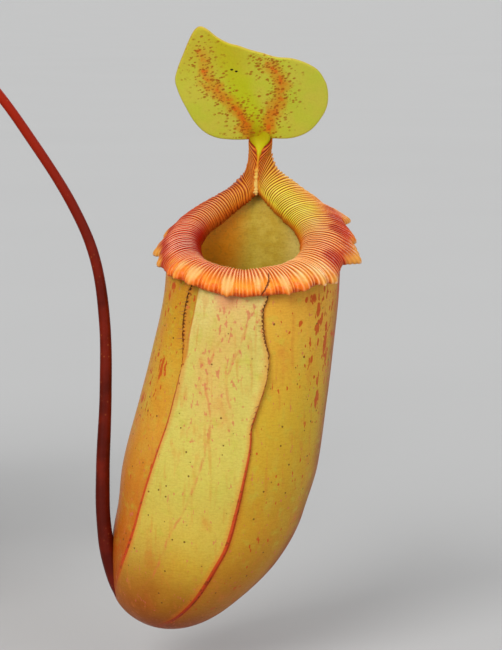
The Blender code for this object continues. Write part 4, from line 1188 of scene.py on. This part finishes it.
# tendrils
tendril = {
    "line": ((-77.1, -0.5, 163.8), (-64.2, -0.5, 146.2), (-52.8, -1.0, 127.7), (-46.3, -2.0, 112.0),
             (-43.5, -3.0, 92.9), (-43.3, -4.5, 72.0), (-44.2, -6.0, 50.0), (-44.1, -7.0, 34.0),
             (-42.0, -7.5, 21.0), (-37.4, -7.5, 10.5), (-29.0, -7.0, 5.0)),
    "radius": ((0.0, 1.45), (0.35, 1.5), (0.6, 1.9), (0.8, 2.35), (0.93, 2.75), (1.0, 3.2)),
    "lead": (0.0, 4.0),  # how far it runs straight on from the leaf
    "bare": ((0, 0), (13, -9), (25, -26), (31, -48), (30, -68), (25, -82), (24, -93), (29, -99),
             (35, -96), (36, -89)),
    "bareRadius": ((0.0, 1.3), (0.5, 1.05), (0.85, 1.1), (0.93, 1.75), (0.975, 1.5), (1.0, 0.25)),
    "steps": 300, "sides": 18, "lump": 0.035, "lumpSize": 9, "thinnest": 0.35,
}


def buildTendril(leaf, name, pitcher=None):
    def lumpy(around, along):
        return 1 + tendril["lump"] * ripple(along * 260, around * 2, leaf["number"], tendril["lumpSize"])

    tip, ahead, _ = leafLine(leaf, 1.0)
    start = [tip + ahead * step for step in tendril["lead"]]
    if pitcher:
        path = through(start + list(placed(pitcher, tendril["line"])), tendril["steps"])
        thinner = tendril["thinnest"] + (1 - tendril["thinnest"]) * pitcher["scale"]
        radii = curve(tendril["radius"], np.linspace(0, 1, len(path))) * thinner
    else:
        load = leaf["load"]
        control = [start[1] + leaf["out"] * x * load + np.array((0, 0, z * load)) for x, z in tendril["bare"]]
        path = through(start[:1] + control, tendril["steps"] // 2)
        radii = curve(tendril["bareRadius"], np.linspace(0, 1, len(path)))
    return pipe(name, path, radii, tendril["sides"], shape=lumpy)


def tendrilFinish(maker):
    (along,), place = maker.marks("along"), maker.place()
    broad, fine = place.noise(9.0, 3), place.noise(0.9, 3)
    colour = maker.mix(broad.step(0.35, 0.7), (0.085, 0.005, 0.001), (0.17, 0.01, 0.002))
    colour = colour.mix(along.step(0.5, 0.1) * 0.9, (0.41, 0.017, 0.002))
    colour = colour.mix(along.step(0.14, 0.0) * 0.8, (0.2, 0.13, 0.02))
    colour = colour.mix(along.step(0.9, 0.985) * 0.6, (0.28, 0.035, 0.014))
    pale = place.cells(1.7).step(0.2, 0.1) * broad.step(0.4, 0.6)
    colour = colour.mix(pale * 0.35, (0.42, 0.12, 0.03))
    return colour, fine.step(0.3, 0.7, 0.36, 0.52), (fine, 0.2, 0.5)


# leaves
def leafSurface(leaf, u, v, lift):
    # a point of the blade: v from -1 to 1 across, lift above its middle sheet
    half = leaf["halfWidth"] * curve(leafPlan["outline"], u)
    middle, _, above = leafLine(leaf, u)
    phase = turnFull * leafPlan["waves"] * u + leaf["number"]
    wave = leafPlan["wave"] * leaf["halfWidth"] * v * v * np.sin(phase)
    arch = half * (leafPlan["fold"] * np.sqrt(v * v + 0.004) - leafPlan["curl"] * v * v)
    blade = middle + leaf["side"] * (v * half)[..., None] + above * (arch + wave + lift)[..., None]
    turn = leaf["azimuth"] + v * math.radians(leafPlan["sheathAngle"])
    around = leafPlan["root"] + lift * 0.8
    sheath = stack(np.cos(turn) * around, np.sin(turn) * around, middle[..., 2])
    share = ease(u / leafPlan["sheathShare"])[..., None]
    return sheath * (1 - share) + blade * share


def buildLeaf(leaf, name):
    u = np.linspace(0, 1, leafPlan["steps"])[:, None] ** 0.92
    line = np.linspace(-1, 1, leafPlan["across"])
    line = np.sin(line * math.pi / 2) * 0.55 + line * 0.45
    v = np.concatenate([line, line[::-1]])[None]
    face = np.concatenate([np.ones(len(line)), -np.ones(len(line))])[None]
    u, v, face = np.broadcast_arrays(u, v, face)
    rounding = np.clip(abs(v) - leafPlan["edge"], 0, 1) ** 2 / 0.0205
    half = leafPlan["thickness"] / 2 * np.sqrt(np.clip(1 - rounding, 0.02, 1))
    rib = leafPlan["midrib"] * hill(v, 0, leafPlan["midribWidth"]) * (1 - 0.65 * u)
    groove = leafPlan["groove"] * hill(v, 0, leafPlan["grooveWidth"]) * ease(u / 0.2) * (1 - 0.5 * u)
    lift = face * half - (face < 0) * rib - (face > 0) * groove
    veins = leafPlan["veinHeight"] * sum(hill(abs(v), at, leafPlan["veinWidth"]) for at in leafPlan["veins"])
    return loft(name, leafSurface(leaf, u, v, lift - face * veins), {"u": u, "v": v, "face": face})


def leafFinish(maker):
    u, v, face = maker.marks("u", "v", "face")
    place = maker.place()
    away = abs(v)
    broad, fine = place.noise(14.0, 3), place.noise(0.8, 2)
    colour = maker.mix(broad.step(0.35, 0.68), (0.06, 0.135, 0.016), (0.135, 0.235, 0.028))
    # cross veins run out and forward from the midrib
    run = maker.sum("SINE", (u * 150 - away * 26 + (broad - 0.5) * 10))
    ladder = run.step(0.82, 1.0) * away.step(0.02, 0.12)
    colour = colour.mix(ladder * 0.3, (0.2, 0.3, 0.05))
    for at in leafPlan["veins"]:
        colour = colour.mix(abs(away - at).step(0.022, 0.006) * 0.45, (0.22, 0.31, 0.06))
    rib = maker.ramp(u, (0.0, (0.42, 0.36, 0.08)), (0.75, (0.34, 0.36, 0.07)), (1.0, (0.45, 0.12, 0.03)))
    colour = colour.mix(away.step(0.06, 0.018) * 0.85, rib)
    # the underside, the edge, the tip and the base
    colour = colour.mix(face.step(0.2, -0.2) * 0.55, (0.21, 0.28, 0.06))
    colour = colour.mix(away.step(0.955, 0.995) * 0.7, (0.38, 0.08, 0.02))
    colour = colour.mix(u.step(0.9, 1.0) * 0.5, (0.4, 0.14, 0.03))
    colour = colour.mix(u.step(0.14, 0.0) * 0.6, (0.3, 0.3, 0.06))
    colour = colour.mix(place.noise(7.0, 4).step(0.66, 0.74) * 0.5, (0.3, 0.2, 0.04))
    height = fine * 0.35 - ladder * 0.5
    return colour, (broad + fine).step(0.7, 1.3, 0.3, 0.46), (height, 0.25, 0.4)


# the stem, the rolled leaf and the young pitcher
stemPlan = {
    "foot": 96.0, "top": 182.0, "radius": 5.0, "taper": 0.4, "taperFrom": 172, "node": 0.35, "scar": 0.15,
    "nodes": (-3, 9), "sway": 0.25, "fluting": 0.02, "rows": 150, "sides": 40,
}
rolled = {
    "line": ((0, 0, 181.0), (1, -1, 202), (5, -4, 226), (12, -8, 248)),
    "radius": ((0, 2.9), (0.45, 3.3), (0.75, 2.3), (1, 0.35)), "seam": 0.16, "turns": 0.8,
    "steps": 90, "sides": 48,
}
young = {
    "top": 122.0, "shoulder": 84.0, "share": 0.86, "wing": 1.5, "wingWidth": 1.1, "rows": 110, "columns": 96,
    "seam": 101, "seamTilt": 7,
    "seamFolds": ((1.3, -3.0, 2.4), (-0.9, 0.6, 0.9), (0.5, 5, 3)),  # rise, place from the seam and width
}


def buildStem(name):
    z = np.linspace(stemPlan["foot"], stemPlan["top"], stemPlan["rows"])
    radii = stemPlan["radius"] * (1 - stemPlan["taper"] * ease((z - stemPlan["taperFrom"]) / 12))
    for number in range(*stemPlan["nodes"]):
        node = leafPlan["firstHeight"] + leafPlan["internode"] * (number - 1) - 1.5
        radii = radii + stemPlan["node"] * hill(z, node, 0.9) - stemPlan["scar"] * hill(z, node - 1.6, 0.7)
    path = stack(stemPlan["sway"] * np.sin(z / 9), stemPlan["sway"] * np.cos(z / 11), z)

    def fluted(around, along):
        return 1 + stemPlan["fluting"] * np.cos(5 * around + 30 * along)

    return pipe(name, path, radii, stemPlan["sides"], shape=fluted)


def stemFinish(maker):
    place = maker.place()
    broad, streaks = place.noise(6.0, 3), place.noise(1.2, 3, stretch=(1, 1, 6))
    colour = maker.mix(streaks.step(0.35, 0.65), (0.14, 0.12, 0.03), (0.3, 0.26, 0.07))
    colour = colour.mix(broad.step(0.52, 0.66) * 0.6, (0.28, 0.1, 0.03))
    return colour, streaks.step(0.3, 0.7, 0.5, 0.72), (streaks, 0.5, 0.6)


def buildRolled(name):
    path = through(rolled["line"], rolled["steps"])
    radii = curve(rolled["radius"], np.linspace(0, 1, len(path)))

    def scroll(around, along):  # a rolled sheet: the radius steps down at a seam that winds up the spike
        return 1.07 - rolled["seam"] * ((around / turnFull + along * rolled["turns"]) % 1.0)

    return pipe(name, path, radii, rolled["sides"], shape=scroll)


def buildYoung(pitcher, name):
    top, shoulder = young["top"], young["shoulder"]
    z = (top * (1 - np.cos(np.linspace(0.02, 0.985, young["rows"]) * math.pi)) / 2)[:, None]
    angle = circle(young["columns"], -math.pi)
    here, radius = cupSurface(angle, z)
    close = np.sqrt(np.clip(1 - (np.clip(z - shoulder, 0, 99) / (top - shoulder)) ** 2, 0, 1))
    middle = stack(cupAt("centreX", z), cupAt("centreY", z), z)
    points = middle + (here - middle) * (close * young["share"])[..., None]
    left, right = ((angle - ribAngle(line, z)) * radius for line in ("leftRib", "rightRib"))
    seam = z - young["seam"] - young["seamTilt"] * np.cos(angle)  # where the lid is still sealed down
    wings = sum(hill(distance, 0, young["wingWidth"]) for distance in (left, right))
    lift = young["wing"] * wings * ease((z - 12) / 20) * ease((96 - z) / 10)
    lift = lift + sum(rise * hill(seam, place, width) for rise, place, width in young["seamFolds"])
    points = points + unit(here - middle) * lift[..., None]
    return loft(name, placed(pitcher, points), {"left": left, "right": right, "up": z, "seam": seam})


def youngFinish(maker):
    left, right, up, seam = maker.marks("left", "right", "up", "seam")
    place = maker.place()
    broad, fine = place.noise(6.0, 3), place.noise(0.5, 3)
    colour = maker.mix((up + broad * 30).step(20, 110), (0.48, 0.2, 0.035), (0.52, 0.46, 0.07))
    colour = colour.mix(place.noise(1.4, 2, stretch=(1, 1, 2.5)).step(0.58, 0.68) * 0.55, (0.55, 0.1, 0.03))
    for distance in (left, right):
        line = abs(distance).step(1.6, 0.3) * up.step(8, 24) * seam.step(0, -5)
        colour = colour.mix(line * 0.8, (0.55, 0.07, 0.02))
    colour = colour.mix(abs(seam + 3).step(3.0, 1.0) * 0.8, (0.72, 0.16, 0.03))
    colour = colour.mix(seam.step(0.5, 2.5) * 0.8, (0.52, 0.5, 0.06))
    return colour, fine.step(0.3, 0.7, 0.38, 0.55), (fine, 0.2, 0.4)


# the pot and its mix
pot = {
    "profile": ((0, 7), (43.0, 7), (61.0, 93), (62.5, 118.5), (64.0, 120), (68.5, 120), (70, 118.5),
                (68.5, 93), (66, 93), (48, 1.5), (46.5, 0), (0, 0)),
    "steps": 144, "longest": 2.2, "rounding": 1.3, "turning": 0.16,
    "oval": 0.25, "threeSided": 0.12,  # how far out of round it was thrown
    "holes": 3, "holeRadius": 6.0, "holeCircle": 26.0, "holeSides": 40, "drillLength": 30, "drillHeight": 3,
}
mix = {
    "top": 104.0, "crown": 3.0, "radius": 62.0, "rings": 84, "columns": 150, "floor": 90.0,
    "lump": 1.3, "lumps": ((0.6, 21, 17), (0.45, 22, 6), (0.3, 23, 2.6)),  # share of the lump, seed and size
    "loose": (0.1, 0.985),  # chips and grit lie between these shares of the radius
    "strewn": (  # piece, finish, shape, seed, how many for a square metre, sizes, flatness and dent
        ("bark_chips", "bark", "bark chips", 7, 104000.0, (3.2, 7.5), 0.42, 2.4),
        ("perlite_grains", "grit", "perlite", 3, 10400.0, (1.3, 3.0), 0.8, 0.9),
    ),
}


def roundedLine(points, radius, steps=5):
    # each corner of the line made a short curve
    points = [np.array(p, float) for p in points]
    line = [points[0]]
    for before, corner, after in zip(points, points[1:], points[2:]):
        a, b = before - corner, after - corner
        cut = min(radius, np.linalg.norm(a) * 0.45, np.linalg.norm(b) * 0.45)
        start, end = corner + unit(a) * cut, corner + unit(b) * cut
        for t in np.linspace(0, 1, steps):
            line.append(start * (1 - t) ** 2 + corner * 2 * t * (1 - t) + end * t * t)
    return line + [points[-1]]


def finer(line, longest):
    made = [line[0]]
    for a, b in zip(line, line[1:]):
        count = max(1, math.ceil(np.linalg.norm(b - a) / longest))
        made += [a + (b - a) * (k + 1) / count for k in range(count)]
    return np.array(made)


def buildPot(name, material):
    line = finer(roundedLine(pot["profile"], pot["rounding"]), pot["longest"])
    angle = circle(pot["steps"])
    radius, height = line[1:-1, 0][:, None], line[1:-1, 1][:, None]
    wall = ease((radius - 40) / 4)
    turning = np.sin(height * 1.45 + 0.5 * np.sin(angle + height / 20)) * 0.6 + np.sin(height * 0.61)
    wobble = pot["oval"] * np.sin(2 * angle + height / 60) + pot["threeSided"] * np.sin(3 * angle + 1)
    made = loft(name, polar(radius + (pot["turning"] * turning + wobble) * wall, angle, height))
    made.data.materials.append(material)
    for hole in range(pot["holes"]):
        turn, wide = turnFull * hole / pot["holes"] + math.pi / 2, pot["holeRadius"] * mm
        form, data = bmesh.new(), bpy.data.meshes.new("drain")
        bmesh.ops.create_cone(form, cap_ends=True, segments=pot["holeSides"], radius1=wide, radius2=wide,
                              depth=pot["drillLength"] * mm)
        place = polar(pot["holeCircle"], turn, pot["drillHeight"])
        bmesh.ops.translate(form, verts=form.verts, vec=place * mm)
        form.to_mesh(data)
        form.free()
        cutter = added("drain", data)
        cut = made.modifiers.new("drain", "BOOLEAN")
        cut.object, cut.operation = cutter, "DIFFERENCE"
        plain(made)
        bpy.data.objects.remove(cutter)
    return made


def potFinish(maker):
    place = maker.place()
    split = maker.node("ShaderNodeSeparateXYZ", None, {0: place}, 2)
    broad, cloudy, grain = place.noise(45.0, 4), place.noise(12.0, 4), place.noise(0.9, 3)
    colour = maker.mix(broad.step(0.35, 0.65), (0.46, 0.155, 0.068), (0.6, 0.235, 0.115))
    colour = colour.mix(grain.step(0.6, 0.75) * 0.35, (0.3, 0.09, 0.04))
    bloom = (cloudy + split.step(92, 20) * 0.1 - split.step(60, 110) * 0.02).step(0.58, 0.76)
    colour = colour.mix(bloom * 0.32, (0.66, 0.48, 0.36))
    damp = (split + broad * 30).step(34, 8)
    colour = colour.mix(damp * 0.45, (0.24, 0.085, 0.045))
    algae = (place.noise(9.0, 4) - split.step(4, 40) * 0.2).step(0.5, 0.62)
    colour = colour.mix(algae * 0.35, (0.13, 0.15, 0.05))
    rings = place.noise(1.1, 2, stretch=(30, 30, 1))
    height = grain * 0.6 + rings * 0.8 + cloudy * 0.4
    return colour, cloudy.step(0.3, 0.7, 0.74, 0.92), (height, 0.5, 0.45)


def buildMix(name):
    inner = mix["radius"]
    share = np.linspace(0, 1, mix["rings"])[1:][::-1, None]
    angle, radius = circle(mix["columns"]), share * inner
    x, y = radius * np.cos(angle), radius * np.sin(angle)
    lump = mix["lump"] * sum(part * ripple(x, y, seed, size) for part, seed, size in mix["lumps"])
    z = mix["top"] + mix["crown"] * (1 - (radius / inner) ** 2) + lump * ease((1 - radius / inner) * 12 + 0.2)
    side = polar(inner, angle, mix["floor"])
    foot = side * np.array((0.5, 0.5, 1))
    low, high = mix["loose"]
    loose = np.concatenate([np.zeros((2, 1)), (share > low) & (share < high)])
    return loft(name, np.concatenate([foot, side, stack(x, y, z)]), {"loose": loose})


def scatterTree(label):
    # chips or grit strewn over a surface, each turned, sized and dented at random
    tree, maker, given = nodeGroup(label, {
        **dict.fromkeys(("Per Square Metre", "Smallest", "Largest", "Flatness", "Dent"), "Float"),
        "Seed": "Int", "Piece Material": "Material"})
    density = maker.named("loose") * given["Per Square Metre"]
    points = maker.node("GeometryNodeDistributePointsOnFaces", None, {
        0: given["Geometry"], "Density": density, "Seed": given["Seed"]})
    if label == "bark chips":
        shape = maker.node("GeometryNodeMeshCube", None, {
            "Size": (1, 1, 1), "Vertices X": 3, "Vertices Y": 3, "Vertices Z": 2})
    else:
        shape = maker.node("GeometryNodeMeshIcoSphere", None, {"Radius": 0.5, "Subdivisions": 2})
    turn = maker.random((-0.55, -0.55, 0), (0.55, 0.55, 6.28), given["Seed"])
    turned = maker.node("FunctionNodeEulerToRotation", None, {0: turn})
    size = maker.random(given["Smallest"], given["Largest"], given["Seed"])
    scale = maker.joined(size, size * maker.random(0.5, 0.95, 5), size * given["Flatness"])
    pieces = maker.node("GeometryNodeInstanceOnPoints", None, {
        0: points, "Instance": shape, "Rotation": turned, "Scale": scale})
    pieces = maker.node("GeometryNodeStoreNamedAttribute", {"domain": "INSTANCE"}, {
        0: pieces, "Name": "tone", "Value": maker.random(0.0, 1.0, 9)})
    whole = maker.node("GeometryNodeRealizeInstances", None, {0: pieces})
    here = maker.scaled(maker.node("GeometryNodeInputPosition"), 1 / mm)
    rough = maker.node("ShaderNodeTexNoise", None, {"Vector": here, "Scale": 0.45, "Detail": 1.0}, 1)
    offset = maker.scaled(maker.vector("SUBTRACT", rough, (0.5, 0.5, 0.5)), given["Dent"])
    dented = maker.node("GeometryNodeSetPosition", None, {0: whole, "Offset": offset})
    closeGroup(tree, maker, dented, given["Piece Material"])
    return tree


def mixFinish(maker):
    place = maker.place()
    crumbs, broad = place.noise(1.5, 4, 0.65), place.noise(10.0, 3)
    colour = maker.mix(crumbs.step(0.38, 0.62), (0.02, 0.011, 0.006), (0.095, 0.055, 0.028))
    colour = colour.mix(place.noise(3.0, 3).step(0.6, 0.7) * 0.6, (0.17, 0.1, 0.05))
    moss = broad.step(0.54, 0.64) * crumbs.step(0.35, 0.55)
    colour = colour.mix(moss * 0.7, (0.085, 0.125, 0.02))
    return colour, crumbs.step(0.3, 0.7, 0.82, 0.96), (crumbs, 1.6, 1.0)


def barkFinish(maker):
    (tone,), place = maker.marks("tone"), maker.place()
    fibre = place.noise(1.0, 4, 0.6, stretch=(1, 1, 3))
    colour = maker.ramp(tone, (0.0, (0.05, 0.022, 0.01)), (0.35, (0.13, 0.06, 0.024)),
                        (0.7, (0.2, 0.105, 0.045)), (1.0, (0.27, 0.17, 0.09)))
    colour = colour.mix(fibre.step(0.52, 0.7) * 0.6, (0.04, 0.018, 0.009))
    return colour, fibre.step(0.3, 0.7, 0.78, 0.95), (fibre, 0.6, 0.8)


def gritFinish(maker):
    holes = maker.place().noise(0.7, 3)
    colour = maker.mix(holes.step(0.35, 0.6), (0.52, 0.49, 0.43), (0.82, 0.8, 0.75))
    return colour, holes.step(0.3, 0.7, 0.8, 0.95), (holes, 0.5, 0.8)


buildStudio()
print("stage: studio ready")

skin = {"Subsurface Weight": 0.1, "Subsurface Radius": (1.0, 0.45, 0.15), "Subsurface Scale": 0.001}
finishes = {
    "lip": finish("lip, ribbed and orange", lipFinish, {**skin, "Specular IOR Level": 0.16}),
    "cup": finish("cup, ochre with red streaks", cupFinish, {**skin, "Specular IOR Level": 0.1}),
    "hair": finish("wing hairs", hairFinish),
    "lid": finish("lid, lime with glands", lidFinish, {**skin, "Specular IOR Level": 0.16}),
    "ridge": finish("neck ridge", ridgeFinish, {**skin, "Specular IOR Level": 0.1}),
    "tendril": finish("tendril, dark red", tendrilFinish, {"Specular IOR Level": 0.12}),
    "leaf": finish("leaf, deep green", leafFinish, {
        "Coat Weight": 0.05, "Coat Roughness": 0.3, "Specular IOR Level": 0.35}),
    "stem": finish("stem, green and brown", stemFinish),
    "young": finish("young pitcher", youngFinish, skin),
    "pot": finish("clay", potFinish),
    "mix": finish("potting mix", mixFinish),
    "bark": finish("bark chips", barkFinish),
    "grit": finish("perlite", gritFinish),
}
leaves = [leafAt(number + 1) for number in range(len(leafPlan["leaves"]))]
ribs, hairs = ribTree(), hairTree()

for number, leafNumber in enumerate((6, 2)):
    tag, cad = number + 1, pitcherPlan["carriers"][leafNumber]
    pitcher = pitcherAt(leaves[leafNumber - 1])
    finished(buildCup(pitcher, f"cup_{tag}"), finishes["cup"], "cup_yellow", cad + "_cup")
    lip = buildLip(pitcher, f"lip_{tag}", ribs, finishes["lip"])
    finished(lip, finishes["lip"], "lip_orange", cad + "_lip")
    finished(buildLid(pitcher, f"lid_{tag}"), finishes["lid"], "lid_lime", cad + "_lid")
    finished(buildSpur(pitcher, f"spur_{tag}"), finishes["tendril"], "lip_orange", cad + "_spur")
    finished(buildRidge(pitcher, f"neck_ridge_{tag}"), finishes["ridge"], "lid_lime")
    hair = buildFringe(pitcher, f"wing_hairs_{tag}", hairs, finishes["hair"])
    finished(hair, finishes["hair"], "cup_yellow")
    print(f"stage: pitcher {tag} done, at", [round(x, 1) for x in pitcher["origin"]])

sprout = pitcherAt(leaves[3])
finished(buildYoung(sprout, "young_cup"), finishes["young"], "cup_yellow", "young_pitcher")
for leaf in leaves:
    number = leaf["number"]
    finished(buildLeaf(leaf, f"blade_{number}"), finishes["leaf"], "leaf_green", f"leaf_{number}")
    carried = pitcherAt(leaf) if number in pitcherPlan["carriers"] else None
    twining = buildTendril(leaf, f"twining_{number}", carried)
    finished(twining, finishes["tendril"], "tendril_red", f"tendril_{number}")
finished(buildStem("climbing_stem"), finishes["stem"], "stem", "stem")
finished(buildRolled("rolled_leaf"), finishes["leaf"], "leaf_green", "new_leaf")
print("stage: leaves, tendrils and stem done")

finished(buildPot("clay_pot", finishes["pot"]), finishes["pot"], "terracotta", "pot")
ground = buildMix("mix_top")
finished(ground, finishes["mix"], "potting_mix", "potting_mix")
for name, look, label, seed, density, (smallest, largest), flatness, dent in mix["strewn"]:
    strewn = withNodes(added(name, ground.data.copy()), scatterTree(label), {
        "Per Square Metre": density, "Smallest": smallest * mm, "Largest": largest * mm, "Flatness": flatness,
        "Dent": dent * mm, "Seed": seed, "Piece Material": finishes[look]})
    finished(strewn, finishes[look], "potting_mix")
print("stage: pot and mix done")
